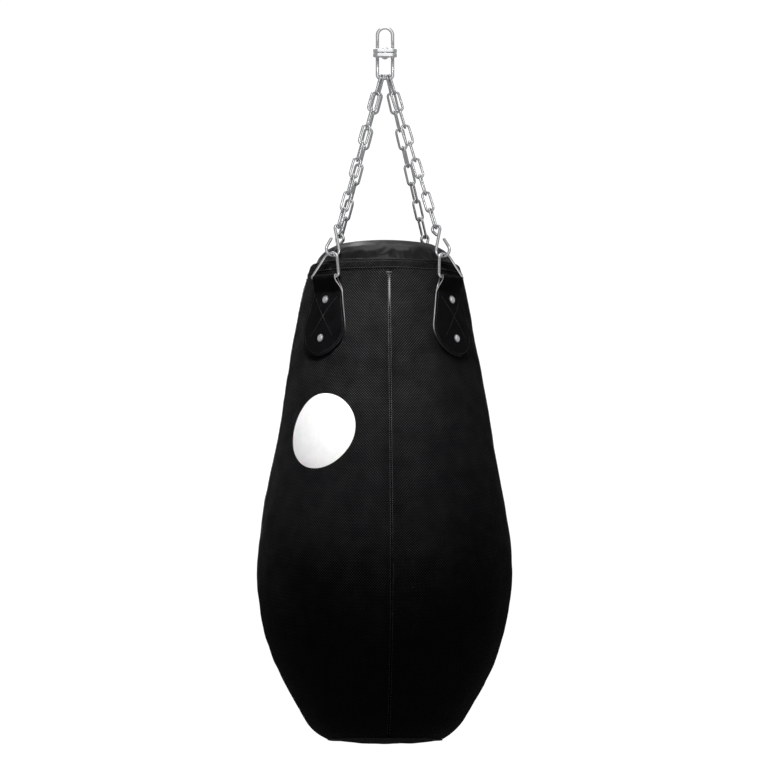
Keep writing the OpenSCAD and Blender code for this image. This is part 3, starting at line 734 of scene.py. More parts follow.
def piping(node, steps, sway):
    """A leather-covered cord in a ring, with faint ripples."""
    low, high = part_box(node)
    wire = (high.z - low.z) / 2
    r, a = high.x - wire, circle(steps)
    line = np.stack([r * np.sin(a), -r * np.cos(a), np.full(steps, (low.z + high.z) / 2)], -1)
    line[:, 2] += sway * rim_sway(line * np.array([1, 1, 0]))
    ripples = 1 + 0.04 * np.sin(90 * a)
    points, faces = tube(line, wire * ripples, closed=True, sides=12, first_side=(0, 0, 1))
    add_mesh(node + "_visual", points, faces, "piping", "bag", "shell_leather", node=node)


hem_band()
piping("rim_piping", RING_STEPS, 0.5 * MM)
piping("bottom_piping", 300, 0.3 * MM)


# ---------------------------------------------------------------- straps and rivets

ring_bars = [np.array(JOINTS[f"ring_tilt_{n}"]["pos_m"], float) for n in SIDES]
strap_azimuths = [azimuth_of(p) for p in ring_bars]
STRAP_LAYER = 2.45 * MM
STRAP_LOW = 0.32 * MM
BAR_RADIUS = 3.0 * MM
FOLD_GAP = 0.4 * MM


def local_frame(azimuth):
    """Directions outward, across and up, for something that stands on the bag's side."""
    a = math.radians(azimuth)
    return np.array([[math.sin(a), -math.cos(a), 0], [math.cos(a), math.sin(a), 0], [0, 0, 1]])


class Teardrop:
    """The outline of a strap: straight sides that run from the neck into a round foot."""

    def __init__(self, node, azimuth, bar_z):
        local = cad_points(node) @ local_frame(azimuth).T
        self.foot_r = np.abs(local[:, 1]).max()
        self.foot_z = local[:, 2].min() + self.foot_r
        self.neck = np.abs(local[local[:, 2] > bar_z, 1]).max()
        self.neck_z = bar_z
        rise = self.neck_z - self.foot_z
        reach = math.hypot(self.neck, rise)
        self.touch = math.atan2(rise, self.neck) - math.acos(self.foot_r / reach)
        self.touch_z = self.foot_z + self.foot_r * math.sin(self.touch)
        self.touch_half = self.foot_r * math.cos(self.touch)

    def half_width(self, z):
        z = np.asarray(z, float)
        round_part = np.sqrt(np.maximum(self.foot_r**2 - (z - self.foot_z) ** 2, 0))
        below = self.neck_z - z
        below = (below + np.sqrt(below**2 + (5 * MM) ** 2)) / 2
        side = self.neck + (self.touch_half - self.neck) * below / (self.neck_z - self.touch_z)
        return np.where(z < self.touch_z, round_part, np.minimum(side, self.touch_half))

    def edge(self, inset, steps):
        """Points (across, z) set in from the outline: down one side, round the foot, up the other."""
        r = self.foot_r - inset
        a = np.linspace(math.pi - self.touch, 2 * math.pi + self.touch, steps)
        foot = np.stack([r * np.cos(a), self.foot_z + r * np.sin(a)], -1)
        top = self.neck_z - 0.012
        y = float(self.half_width(top)) - inset
        left = np.linspace([-y, top], foot[0], 30)[:-1]
        right = np.linspace(foot[-1], [y, top], 30)[1:]
        return np.concatenate([left, foot, right])


def on_strap(azimuth, across, z, offset):
    """Points on the shell under a strap, for a distance across it and a height."""
    across, z = np.broadcast_arrays(np.asarray(across, float), z)
    s = s_at_height(z)
    turn = azimuth + np.degrees(np.arcsin(np.clip(across / radius_at(s), -1, 1)))
    return on_side(turn, s, offset + swell(turn, s)), normal_on_side(turn, s)


def strap(k):
    """A strip of leather that lies on the shell, folds around the ring's bar and comes back below."""
    name, azimuth, bar = SIDES[k], strap_azimuths[k], ring_bars[k]
    shape = Teardrop(f"strap_{name}", azimuth, bar[2])
    axes = local_frame(azimuth)
    bar_out = math.hypot(bar[0], bar[1])
    columns = np.concatenate([[-1, -0.975, -0.93], np.linspace(-0.86, 0.86, 21), [0.93, 0.975, 1]])
    lean_z = bar[2] - 30 * MM
    foot = np.radians([88.5, 86, 82, 76, 69, 61, 52, 43, 34, 25, 16, 8, 0])
    foot_rows = shape.foot_z - shape.foot_r * np.sin(foot)
    rows_z = np.concatenate([foot_rows, np.linspace(shape.foot_z, lean_z, 24)[1:]])
    fold_r = BAR_RADIUS + FOLD_GAP + STRAP_LAYER / 2
    wrinkle = waves(30 + k, 0.03)

    def lying(offset, inset):
        half = np.maximum(shape.half_width(rows_z) - inset, 1 * MM)[:, None]
        squeezed_z = shape.foot_z + (rows_z - shape.foot_z) * np.where(
            rows_z < shape.foot_z, (shape.foot_r - inset) / shape.foot_r, 1)
        return on_strap(azimuth, half * columns, squeezed_z[:, None], offset)[0]

    def at_bar(angle, half):
        local = np.stack([np.full(len(columns), bar_out + fold_r * math.cos(angle)), half * columns,
                          np.full(len(columns), bar[2] + fold_r * math.sin(angle))], -1)
        return local @ axes

    front = lying(STRAP_LOW + STRAP_LAYER * 1.5 + 0.08 * MM, 0)
    back = lying(STRAP_LOW + STRAP_LAYER / 2, 0.9 * MM)
    neck = shape.neck - 0.3 * MM
    bend = np.stack([at_bar(a, neck) for a in np.radians(np.linspace(0, 180, 13))])
    pull = 30 * MM
    shares = np.linspace(0, 1, 12)[1:-1, None, None]
    up = pull * np.array([0, 0, 1])
    rise = hermite(front[-1], bend[0], pull * unit(front[-1] - front[-2]), up, shares)
    drop = hermite(bend[-1], back[-1], -up, pull * unit(back[-2] - back[-1]), shares)
    for part in (rise, bend, drop):
        local = part @ axes.T
        local[..., 1] = (shape.half_width(local[..., 12, 2])[:, None] - 0.3 * MM) * columns
        part[:] = local @ axes
    middle = np.concatenate([front, rise, bend, drop, back[::-1]])
    along = unit(np.gradient(middle, axis=0))
    over = unit(np.gradient(middle, axis=1))
    out = unit(np.cross(along, over))
    if out[5, 12] @ axes[0] < 0:
        out = -out
    soft = np.interp(np.abs(columns), [0, 0.93, 0.975, 1], [1, 1, 0.99, 0.94])[None, :, None]
    ripple = 0.16 * MM * wrinkle(middle)[..., None]
    thick = STRAP_LAYER / 2 * soft
    outer, inner = middle + out * (thick + ripple), middle - out * thick
    points, faces = slab(outer, inner)
    rim = [int(min(f) < len(points) // 2 <= max(f)) for f in faces]
    lengths = lengths_along(middle[:, 13])
    add_mesh(f"strap_{name}_visual", points, faces, "strap", "bag", "strap_leather",
             flat=np.stack(np.broadcast_arrays(columns * shape.neck, lengths[:, None]), -1), rim=rim,
             turn=True, sharp=50, node=f"strap_{name}")
    strap_stitches(k, shape, lean_z)


def strap_stitches(k, shape, lean_z):
    """A row around the strap's edge, up to where it leaves the shell, and a cross between its rivets."""
    azimuth, top = strap_azimuths[k], STRAP_LOW + 2 * STRAP_LAYER + 0.1 * MM
    edge = shape.edge(4.2 * MM, 90)
    lines = [(edge[edge[:, 1] < lean_z], EDGE_THREAD)]
    high, low = rivet_depths(k)
    for sign in (-1, 1):
        a = np.array([sign * (float(shape.half_width(high)) - 13 * MM), high + 4 * MM])
        b = np.array([-sign * (float(shape.half_width(low)) - 22 * MM), low + 4 * MM])
        lines.append((np.linspace(a, b, 60), CROSS_THREAD))
    rows = [stitches(*on_strap(azimuth, line[:, 0], line[:, 1], top), thread) for line, thread in lines]
    add_mesh(f"strap_stitches_{SIDES[k]}", *joined(rows), "dark_thread", "bag", "tape")


def loose_parts(node):
    """The centres of the separate solids of a CAD node."""
    points = cad_points(node)
    keys = {}
    ids = np.array([keys.setdefault(tuple(np.round(p, 6)), len(keys)) for p in points])
    parent = list(range(len(keys)))

    def root(i):
        while parent[i] != i:
            parent[i] = parent[parent[i]]
            i = parent[i]
        return i

    for polygon in frame["nodes"][node].data.polygons:
        corners = [ids[v] for v in polygon.vertices]
        for c in corners[1:]:
            parent[root(c)] = root(corners[0])
    groups = {}
    for i, key in enumerate(ids):
        groups.setdefault(root(key), []).append(i)
    return [(points[g].min(0) + points[g].max(0)) / 2 for g in groups.values()]


RIVETS = loose_parts("strap_rivets")


def rivet_depths(k):
    """Heights of a strap's two rivets on the shell, the upper one first."""
    mine = [p for p in RIVETS
            if abs((azimuth_of(p) - strap_azimuths[k] + 180) % 360 - 180) < 8]
    return sorted((float(height_at(s_near(math.hypot(p[0], p[1]), p[2]))) for p in mine), reverse=True)


def revolved(profile, origin, out, steps=40):
    """A round solid from (radius, height) points that start and end on its axis."""
    out = unit(out)
    side = unit(np.cross(out, [0.2, 0.1, 0.97]))
    other = np.cross(out, side)
    angles = circle(steps)
    ring = np.cos(angles)[:, None] * side + np.sin(angles)[:, None] * other
    body = profile[1:-1]
    points = [origin + out * profile[0][1]]
    points += [origin + out * h + r * way for r, h in body for way in ring]
    points.append(origin + out * profile[-1][1])
    last, base = len(points) - 1, 1 + (len(body) - 1) * steps
    faces = ring_faces(len(body), steps, first=1)
    faces += [(0, 1 + (j + 1) % steps, 1 + j) for j in range(steps)]
    faces += [(last, base + j, base + (j + 1) % steps) for j in range(steps)]
    return np.array(points), faces


def strap_rivets():
    """Domed rivets, two to a strap, each on a thin collar."""
    head, rise, seat = 6.2 * MM, 3.2 * MM, 6.0 * MM
    dome = [(head * math.sin(a), seat + 0.5 * MM + (rise - 0.5 * MM) * math.cos(a))
            for a in np.linspace(0, math.pi / 2, 9)]
    stem, end = 2.5 * MM, -3.7 * MM
    profile = dome + [(head, seat + 0.15 * MM), (head - 0.35 * MM, seat - 0.1 * MM),
                      (stem, seat - 0.1 * MM), (stem, end), (0, end)]
    parts, collars = [], []
    for k in range(4):
        for z in rivet_depths(k):
            s = float(s_at_height(z))
            lift = float(swell(strap_azimuths[k], s))
            origin = on_side(strap_azimuths[k], s, lift)
            out = normal_on_side(strap_azimuths[k], s)
            parts.append(revolved(profile, origin, out))
            base = STRAP_LOW + 2 * STRAP_LAYER + 0.05 * MM
            ring = [(0, base), (7.4 * MM, base), (7.7 * MM, base + 0.25 * MM), (7.3 * MM, base + 0.55 * MM),
                    (6.0 * MM, base + 0.65 * MM), (0, base + 0.65 * MM)]
            collars.append(revolved(ring, origin, out))
    add_mesh("strap_rivets_visual", *joined(parts), "rivet", "bag", "rivet_steel",
             turn=True, sharp=40, node="strap_rivets")
    add_mesh("strap_rivet_collars", *joined(collars), "hook", "bag", "rivet_steel", turn=True, sharp=40)


for k in range(4):
    strap(k)
strap_rivets()


# ---------------------------------------------------------------- target patch

def target_patch():
    """A round patch that lies on the shell, with its edge turned under, and its stitches."""
    low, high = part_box("target_patch")
    centre = (np.array(low) + np.array(high)) / 2
    azimuth = azimuth_of(centre)
    radius = (high.z - low.z) / 2
    middle_z = centre[2]
    rings, spokes = 22, 120
    share = np.concatenate([np.linspace(0.03, 0.94, rings - 5), [0.965, 0.985, 0.995, 1.0, 1.0]])
    lift = np.concatenate([np.full(rings - 5, 0.85), [0.84, 0.80, 0.66, 0.45, 0.1]]) * MM
    lift[-7] -= 0.12 * MM
    angle = circle(spokes)
    across = radius * share[:, None] * np.cos(angle)
    z = middle_z + radius * share[:, None] * np.sin(angle)
    outer = on_strap(azimuth, across, z, lift[:, None])[0]
    inner = on_strap(azimuth, across, z, 0.05 * MM)[0]
    hubs = [on_strap(azimuth, 0.0, middle_z, height)[0] for height in (lift[0], 0.05 * MM)]
    add_mesh("target_patch_visual", *disc(outer, inner, *hubs), "patch", "bag", "patch_white",
             turn=True, sharp=50, node="target_patch")
    angle, inset = np.linspace(0, 2 * math.pi, 200), radius - 3.5 * MM
    line, out = on_strap(azimuth, inset * np.cos(angle), middle_z + inset * np.sin(angle), 0.8 * MM)
    add_mesh("patch_stitches", *stitches(line, out, PATCH_THREAD), "patch", "bag", "patch_white")


target_patch()


# ---------------------------------------------------------------- lid

lid_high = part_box("lid_front")[1]
LID_RADIUS = lid_high.x
lid_tree = cad_tree("lid_front")
zip_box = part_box("zip_teeth_chain")
SLOT_HALF, SLOT_LENGTH = 6.2 * MM, 101 * MM
LID_STEP = 4.2 * MM
LID_THICKNESS = 2.0 * MM
LID_MOVE, LID_RISE = 4.5 * MM, 2.8 * MM
CLOTH_FRAMES = 24


def lid_height(x, y):
    """Height of the CAD lid's top, read along a ray that misses the slot."""
    r = min(max(math.hypot(x, y), 8 * MM), LID_RADIUS - 0.3 * MM)
    a = math.radians(-60)
    return lid_tree.ray_cast(Vector((r * math.cos(a), r * math.sin(a), 0)), Vector((0, 0, -1)))[0].z


def lid_half(name, node, side):
    """One half of the lid: a leather sheet that is larger than its opening, so that it gathers."""
    rim_r = LID_RADIUS - 0.4 * MM
    steps = int(math.pi * rim_r / LID_STEP)
    rim_angles = np.linspace(0.002, math.pi - 0.002, steps)
    rim_line = [(rim_r * math.cos(a), rim_r * math.sin(a)) for a in rim_angles]
    ends = np.linspace(rim_r, SLOT_LENGTH, int((rim_r - SLOT_LENGTH) / LID_STEP) + 1)[1:]
    slot_x = np.linspace(SLOT_LENGTH, -SLOT_LENGTH, int(2 * SLOT_LENGTH / LID_STEP))
    border = rim_line + [(-x, 0.3 * MM) for x in ends] + [(x, SLOT_HALF) for x in slot_x[::-1]]
    border += [(x, 0.3 * MM) for x in ends[::-1]]
    inside = []
    for i, y in enumerate(np.arange(LID_STEP, rim_r, LID_STEP * 0.866)):
        for x in np.arange(-rim_r, rim_r, LID_STEP) + (LID_STEP / 2 if i % 2 else 0):
            clear_slot = abs(x) > SLOT_LENGTH + 0.6 * LID_STEP or y > SLOT_HALF + 0.6 * LID_STEP
            if math.hypot(x, y) < rim_r - 0.6 * LID_STEP and clear_slot:
                inside.append((x, y))
    n = len(border)
    flat = [Vector((x, y)) for x, y in border + inside]
    found, _, faces = delaunay_2d_cdt(flat, [(i, (i + 1) % n) for i in range(n)], [], 1, 1e-7)[:3]
    start = np.array([(p.x, side * p.y, lid_height(p.x, p.y)) for p in found])
    faces = [tuple(f) if side > 0 else tuple(reversed(f)) for f in faces]
    radius = np.hypot(start[:, 0], start[:, 1])
    gathers, sags = waves(41 + side, 0.055), waves(51 + side, 0.028)
    angle = np.arctan2(start[:, 1], start[:, 0])
    near_rim = smoothstep(0.060, 0.135, radius)
    from_slot = np.abs(start[:, 1]) - SLOT_HALF + 1 * MM
    free = smoothstep(0, 10 * MM, rim_r - radius) * smoothstep(0, 8 * MM, from_slot)
    folds = np.sin(angle * 23 + 1.6 * gathers(start)) * near_rim + 0.6 * sags(start)
    pushed = start.copy()
    pushed[:, 2] += free * (0.9 * MM * folds + 1.1 * MM * gathers(start))
    pushed = simulated_lid(name, start, pushed, faces, free)
    piece = add_mesh(name, pushed, faces, "lid", "bag", "shell_leather")
    use_modifier(piece, "SUBSURF", levels=1, render_levels=1)
    use_modifier(piece, "SOLIDIFY", thickness=LID_THICKNESS, offset=-1.0, use_even_offset=False)
    piece.data.polygons.foreach_set("use_smooth", [True] * len(piece.data.polygons))
    face_outward(piece)
    sharpen(piece, 55)
    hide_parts(node)


def simulated_lid(name, start, pushed, faces, free):
    """Cloth with its border pinned, pushed up by the filling. Returns the settled points."""
    sheet = new_object(name + "_cloth", new_mesh(name + "_cloth", pushed, faces))
    pinned = sheet.vertex_groups.new(name="pinned")
    for i, f in enumerate(free):
        if f < 0.02:
            pinned.add([i], 1.0, "REPLACE")
    made = sheet.modifiers.new("cloth", "CLOTH")
    settings = {"quality": 6, "mass": 0.25, "tension_stiffness": 12, "compression_stiffness": 12,
                "shear_stiffness": 4, "bending_stiffness": 0.35, "vertex_group_mass": "pinned",
                "shrink_min": -0.035, "use_pressure": True, "uniform_pressure_force": 1.6}
    for key, value in settings.items():
        setattr(made.settings, key, value)
    made.settings.effector_weights.gravity = 0
    made.collision_settings.use_collision = False
    scene = bpy.context.scene
    for f in range(1, CLOTH_FRAMES + 1):
        scene.frame_set(f)
    shaped = sheet.evaluated_get(bpy.context.evaluated_depsgraph_get())
    settled = vertices_of(shaped.data)
    scene.frame_set(1)
    bpy.data.objects.remove(sheet)
    move = settled - start
    size = np.linalg.norm(move, axis=1, keepdims=True)
    move *= np.minimum(1, LID_MOVE / np.maximum(size, 1e-9))
    move[:, 2] = np.minimum(move[:, 2], LID_RISE)
    return start + move


lid_half("lid_front_visual", "lid_front", -1)
lid_half("lid_rear_visual", "lid_rear", 1)


# ---------------------------------------------------------------- zip

DOME = np.array(JOINTS["zip_slide"]["pos_m"], float)
DOME_RADIUS = lid_high.z - DOME[2]
ZIP_HALF_ANGLE = math.asin(zip_box[1].x / DOME_RADIUS)
TOOTH, TOOTH_PITCH = (1.5 * MM, 3.4 * MM, 1.7 * MM), 2.1 * MM
BEVEL_FROM, SHARP_FROM = 35, 32


def on_track(angle, y, height):
    """A point by the zip: angle along it from the middle, y across it, height above the dome."""
    r = DOME_RADIUS + height
    return np.stack(np.broadcast_arrays(DOME[0] + r * np.sin(angle), y, DOME[2] + r * np.cos(angle)), -1)


def zip_tapes():
    for side, name in ((-1, "zip_tape_front"), (1, "zip_tape_rear")):
        low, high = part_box(name)
        edges = sorted((abs(low.y), abs(high.y)))
        y = np.concatenate([[edges[0], edges[0] + 0.5 * MM], np.linspace(edges[0] + 1 * MM, edges[1], 8)])
        angle = np.linspace(-ZIP_HALF_ANGLE - 0.012, ZIP_HALF_ANGLE + 0.012, 90)[:, None]
        base = -2.9 * MM + 0.12 * MM * np.sin(angle * 260)
        outer = on_track(angle, side * y, base)
        inner = on_track(angle, side * y, base - 0.6 * MM)
        flat = np.stack(np.broadcast_arrays(angle * DOME_RADIUS, y), -1)
        add_mesh(name + "_visual", *slab(outer, inner), "tape", "bag", "tape", flat=flat,
                 turn=True, sharp=50, node=name)


def block(centre, x, y, z, size, round_off):
    """A small block with bevelled edges, for a tooth."""
    a, b, c = (s / 2 for s in size)
    k = round_off
    points = []
    for h, inset in ((-c, k), (-c + k, 0), (c - k, 0), (c, k)):
        for sx, sy in ((-1, -1), (1, -1), (1, 1), (-1, 1)):
            points.append(centre + x * sx * (a - inset) + y * sy * (b - inset) + z * h)
    return np.array(points), ring_faces(4, 4, ends=True)


def zip_teeth():
    """Teeth that reach in from both sides by turns, and a cord along each side."""
    pitch = TOOTH_PITCH / DOME_RADIUS
    count = int(2 * ZIP_HALF_ANGLE / pitch)
    parts = []
    for i in range(count):
        angle = (i - (count - 1) / 2) * pitch
        side = 1 if i % 2 else -1
        along = np.array([math.cos(angle), 0, -math.sin(angle)])
        up = np.array([math.sin(angle), 0, math.cos(angle)])
        centre = on_track(angle, side * 0.9 * MM, -1.75 * MM)
        parts.append(block(centre, along, np.array([0, 1.0, 0]), up, TOOTH, 0.3 * MM))
    for side in (-1, 1):
        cord = on_track(np.linspace(-ZIP_HALF_ANGLE, ZIP_HALF_ANGLE, 60), side * 2.5 * MM, -2.1 * MM)
        parts.append(tube(cord, 0.5 * MM, sides=8, first_side=(0, 1, 0)))
    add_mesh("zip_teeth_visual", *joined(parts), "teeth", "bag", "zip_plastic", sharp=30,
             node="zip_teeth_chain")


def dressed_copy(node, material, body, bevel=0.0):
    """A copy of a CAD node with clean faces, rounded edges and its material."""
    name = node + "_visual"
    piece = frame["nodes"][node].copy()
    piece.data = frame["nodes"][node].data.copy()
    for key in list(piece.keys()):
        if key.startswith("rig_"):
            del piece[key]
    piece.name = name
    piece.data.name = name
    piece.parent = None
    piece.hide_render = False
    bpy.context.scene.collection.objects.link(piece)
    piece.data.materials.clear()
    piece.data.materials.append(MATERIALS[material])
    made = bmesh.new()
    made.from_mesh(piece.data)
    bmesh.ops.remove_doubles(made, verts=made.verts, dist=0.004 * MM)
    if bevel:
        bmesh.ops.dissolve_limit(made, angle_limit=math.radians(2), verts=made.verts, edges=made.edges)
        edges = [e for e in made.edges if len(e.link_faces) == 2
                 and e.calc_face_angle(0) > math.radians(BEVEL_FROM)]
        bmesh.ops.bevel(made, geom=edges, offset=bevel, segments=3, profile=0.6, affect="EDGES",
                        clamp_overlap=True)
    bmesh.ops.recalc_face_normals(made, faces=made.faces)
    for f in made.faces:
        f.smooth = True
    made.to_mesh(piece.data)
    made.free()
    sharpen(piece, SHARP_FROM)
    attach(piece, body)
    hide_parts(node)
    return piece


zip_tapes()
zip_teeth()
dressed_copy("zip_stops", "rivet", "bag", 0.15 * MM)
dressed_copy("zip_slider", "rivet", "slider", 0.35 * MM)
dressed_copy("zip_pull", "rivet", "pull", 0.3 * MM)


# ---------------------------------------------------------------- bottom cap

def bottom_cap():
    """The round piece that closes the bottom: it sags below its piping and is a little lumpy."""
    low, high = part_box("bottom_cap")
    radius = high.x
    rings, spokes = 26, 160
    share = np.concatenate([np.linspace(0.04, 0.96, rings - 3), [0.98, 0.993, 1.0]])
    angle = circle(spokes)
    edge_z = high.z - 2.2 * MM
    sag = edge_z - low.z
    lumps, folds = waves(61, 0.09), waves(62, 0.035)
    x, y = radius * share[:, None] * np.sin(angle), -radius * share[:, None] * np.cos(angle)
    plain = np.stack([x, y, np.zeros_like(x)], -1)
    free = (1 - share[:, None] ** 6)
    uneven = 0.8 * MM * lumps(plain) + 0.35 * MM * folds(plain)
    z = edge_z - sag * (1 - share[:, None] ** 2) + free * uneven
    outer = np.stack([x, y, z], -1)
    inner = outer + np.array([0, 0, SHELL_THICKNESS])
    hubs = [(0, 0, z[0].mean() + thickness) for thickness in (0, SHELL_THICKNESS)]
    flat = np.stack([x, y], -1).reshape(-1, 2)
    flat = np.concatenate([flat, flat, np.zeros((2, 2))])
    piece = add_mesh("bottom_cap_visual", *disc(outer, inner, *hubs), "shell", "bag", "shell_leather",
                     flat=flat, turn=True, sharp=50, node="bottom_cap")


bottom_cap()


# ---------------------------------------------------------------- swivel, chains, hooks, rings

def swivel():
    """The bails, plates, rivet and washer, and beads of weld where the bails' legs meet the plates."""
    for node, body in (("upper_swivel_plate", "hanger"), ("lower_swivel_plate", "lower_swivel"),
                       ("swivel_rivet", "hanger"), ("swivel_washer", "hanger"),
                       ("upper_bail", "hanger"), ("lower_bail", "lower_swivel")):
        bevel = 0.7 * MM if "plate" in node else 0.25 * MM if "washer" in node else 0.0
        dressed_copy(node, "steel", body, bevel)
    low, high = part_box("upper_bail")
    wire = (high.y - low.y) / 2
    leg = (high.x - low.x) / 2 - wire
    for plate, body, sign in (("upper_swivel_plate", "hanger", 1),
                              ("lower_swivel_plate", "lower_swivel", -1)):
        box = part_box(plate)
        face = box[1].z if sign > 0 else box[0].z
        profile = [(wire - 0.4 * MM, -0.2 * MM), (wire + 1.7 * MM, -0.2 * MM), (wire + 1.6 * MM, 0.3 * MM),
                   (wire + 1.0 * MM, 0.9 * MM), (wire + 0.25 * MM, 1.8 * MM), (wire - 0.4 * MM, 2.2 * MM)]
        parts, steps = [], 40
        for side in (-1, 1):
            angle = circle(steps)
            rough = 1 + 0.05 * np.sin(angle * 5 + side) + 0.03 * np.sin(angle * 9)
            grid = np.array([[(side * leg + (wire + (r - wire) * f) * math.cos(a),
                               (wire + (r - wire) * f) * math.sin(a), face + sign * h)
                              for a, f in zip(angle, rough)] for r, h in profile])
            parts.append((grid.reshape(-1, 3), ring_faces(len(profile), steps, loop=True)))
        add_mesh(f"{body}_weld_beads", *joined(parts), "steel", body, "steel", turn=True)


LINKS = 9
LINK_WIDTH = 20.0 * MM
LINK_WIRE, HOOK_WIRE, BAIL_WIRE = 5.0 * MM, 6.0 * MM, 7.0 * MM
GAP = 0.3 * MM
SLOTS = np.array([-9.9, 9.9, -4.4, 4.4]) * MM
HOOK_HEIGHT = 69.0 * MM
HOOK_LOW, HOOK_TOP = 14.2 * MM, 8.0 * MM
HOOK_TIP = np.array([9.5, 20.5]) * MM
HOOK_TURN = math.radians(22)
HOOK_BACK = 8.4 * MM
RING_HEIGHT, RING_HALF = 54.0 * MM, 35.0 * MM
RING_CORNER, RING_CROWN = 5.0 * MM, 20.0 * MM
bar_z = JOINTS["chain_swing"]["pos_m"][2]


class Strand:
    """One of the four strands: where its links, its hook and its ring are, and how they are turned."""

    def __init__(self, k):
        self.start = np.array([SLOTS[k], 0, bar_z])
        self.end = ring_bars[k]
        length = np.linalg.norm(self.end - self.start)
        self.down = unit(self.end - self.start)
        x = np.array([math.copysign(1, SLOTS[k]), 0, 0])
        self.side = unit(x - (x @ self.down) * self.down)
        first = -(BAIL_WIRE / 2 + LINK_WIRE / 2 + GAP) / math.sqrt(1 - self.down[0] ** 2)
        drop = (HOOK_WIRE - LINK_WIRE) / 2
        reach = length - RING_HEIGHT + HOOK_WIRE + GAP - HOOK_HEIGHT + drop
        self.first, self.pitch = first, (reach - first) / LINKS
        self.hook_crown = self.first + LINKS * self.pitch - drop
        a = math.radians(strap_azimuths[k])
        radial = np.array([math.sin(a), -math.cos(a), 0])
        radial = unit(radial - (radial @ self.down) * self.down)
        angle = math.atan2(np.cross(self.down, self.side) @ radial, self.side @ radial)
        self.last_turn = angle - math.copysign(HOOK_TURN, angle)
        self.across = np.array([math.cos(a), math.sin(a), 0])

    def at(self, s):
        return self.start + s * self.down

    def turned(self, angle):
        return math.cos(angle) * self.side + math.sin(angle) * np.cross(self.down, self.side)


STRANDS = [Strand(k) for k in range(4)]


def chain_link(strand, row):
    """A welded link: a stadium of wire, thicker at the weld in the middle of one side."""
    half = (LINK_WIDTH - LINK_WIRE) / 2
    length = strand.pitch + LINK_WIRE + GAP
    straight = length - 2 * half
    middle = strand.at(strand.first + (row - 1) * strand.pitch + length / 2)
    normal = strand.turned(math.pi / 2 * (row - 1) + strand.last_turn * (row - 1) / (LINKS - 1))
    leg = np.linspace(-straight / 2, straight / 2, 15)[1:-1]
    plane = np.concatenate([arc((0, straight / 2), half, 0, 180, 19),
                            np.stack([np.full(13, -half), leg[::-1]], -1),
                            arc((0, -straight / 2), half, 180, 360, 19),
                            np.stack([np.full(13, half), leg], -1)])
    weld = plane[:, 0] > half * 0.99
    bead = 1 + 0.11 * weld * np.exp(-((plane[:, 1] / (1.5 * MM)) ** 2))
    line = placed(plane, middle, np.cross(normal, strand.down), strand.down)
    return tube(line, LINK_WIRE / 2 * bead, closed=True, sides=16, first_side=normal)


def chains():
    for row in range(1, LINKS + 1):
        points, faces = joined([chain_link(s, row) for s in STRANDS])
        node = f"chain_links_row_{row}"
        add_mesh(node + "_visual", points, faces, "chain", f"chain_row_{row}", "chain_steel", node=node)


def s_hook(k):
    """A hook with an open lower loop and an upper one that closes on its own shank."""
    strand = STRANDS[k]
    rise = HOOK_HEIGHT - HOOK_LOW - HOOK_TOP
    lean = math.asin((HOOK_LOW + HOOK_TOP) / rise)
    low = HOOK_LOW * np.array([-math.cos(lean), math.sin(lean)])
    top = np.array([0, rise]) + HOOK_TOP * np.array([math.cos(lean), -math.sin(lean)])
    turn = math.atan2(HOOK_TIP[1], HOOK_TIP[0]) - math.acos(HOOK_LOW / np.linalg.norm(HOOK_TIP))
    root = HOOK_LOW * np.array([math.cos(turn), math.sin(turn)])
    lower = arc((0, 0), HOOK_LOW, 180 - math.degrees(lean), 360 + math.degrees(turn), 40)
    upper = arc((0, rise), HOOK_TOP, -math.degrees(lean), 180 + math.degrees(lean), 36)
    back = upper[-1] + HOOK_BACK * np.array([math.sin(lean), -math.cos(lean)])
    plane = np.concatenate([np.linspace(HOOK_TIP, root, 10)[:-1], lower[::-1],
                            np.linspace(low, top, 12)[1:-1], upper, np.linspace(upper[-1], back, 8)[1:]])
    centre = strand.at(strand.hook_crown + HOOK_HEIGHT - HOOK_LOW)
    x = strand.turned(strand.last_turn)
    line = placed(plane, centre, x, -strand.down)
    points, faces = tube(line, HOOK_WIRE / 2, sides=20, first_side=np.cross(x, strand.down))
    node = f"s_hook_{SIDES[k]}"
    add_mesh(node + "_visual", points, faces, "hook", "s_hooks", "hook_steel", sharp=60, node=node)


def d_ring(k):
    """A ring with a straight bar, two tight corners and a round crown."""
    strand = STRANDS[k]
    corner = np.array([RING_HALF - RING_CORNER, RING_CORNER])
    top = np.array([0, RING_HEIGHT - RING_CROWN])
    way = top - corner
    lean = math.atan2(way[1], way[0]) - math.acos((RING_CORNER - RING_CROWN) / np.linalg.norm(way))
    d = math.degrees(lean)
    low = corner + RING_CORNER * np.array([math.cos(lean), math.sin(lean)])
    high = top + RING_CROWN * np.array([math.cos(lean), math.sin(lean)])
    flip = np.array([-1, 1])
    plane = np.concatenate([
        np.linspace([0, 0], [corner[0], 0], 18)[:-1], arc(corner, RING_CORNER, 270, 360 + d, 14),
        np.linspace(low, high, 12)[1:-1], arc(top, RING_CROWN, d, 180 - d, 30),
        np.linspace(high * flip, low * flip, 12)[1:-1], arc(corner * flip, RING_CORNER, 180 - d, 270, 14),
        np.linspace([-corner[0], 0], [0, 0], 18)[1:-1]])
    up = unit(-strand.down + (strand.down @ strand.across) * strand.across)
    middle = np.abs(plane[:, 1]) < 0.1 * MM
    bead = 1 + 0.05 * middle * np.exp(-((plane[:, 0] / (2 * MM)) ** 2))
    line = placed(plane, strand.end, strand.across, up)
    points, faces = tube(line, HOOK_WIRE / 2 * bead, closed=True, sides=18,
                         first_side=np.cross(strand.across, up))
    node = f"d_ring_{SIDES[k]}"
    add_mesh(node + "_visual", points, faces, "hook", f"ring_{SIDES[k]}", "hook_steel", node=node)


swivel()
chains()
for k in range(4):
    s_hook(k)
    d_ring(k)


# ---------------------------------------------------------------- inner pieces

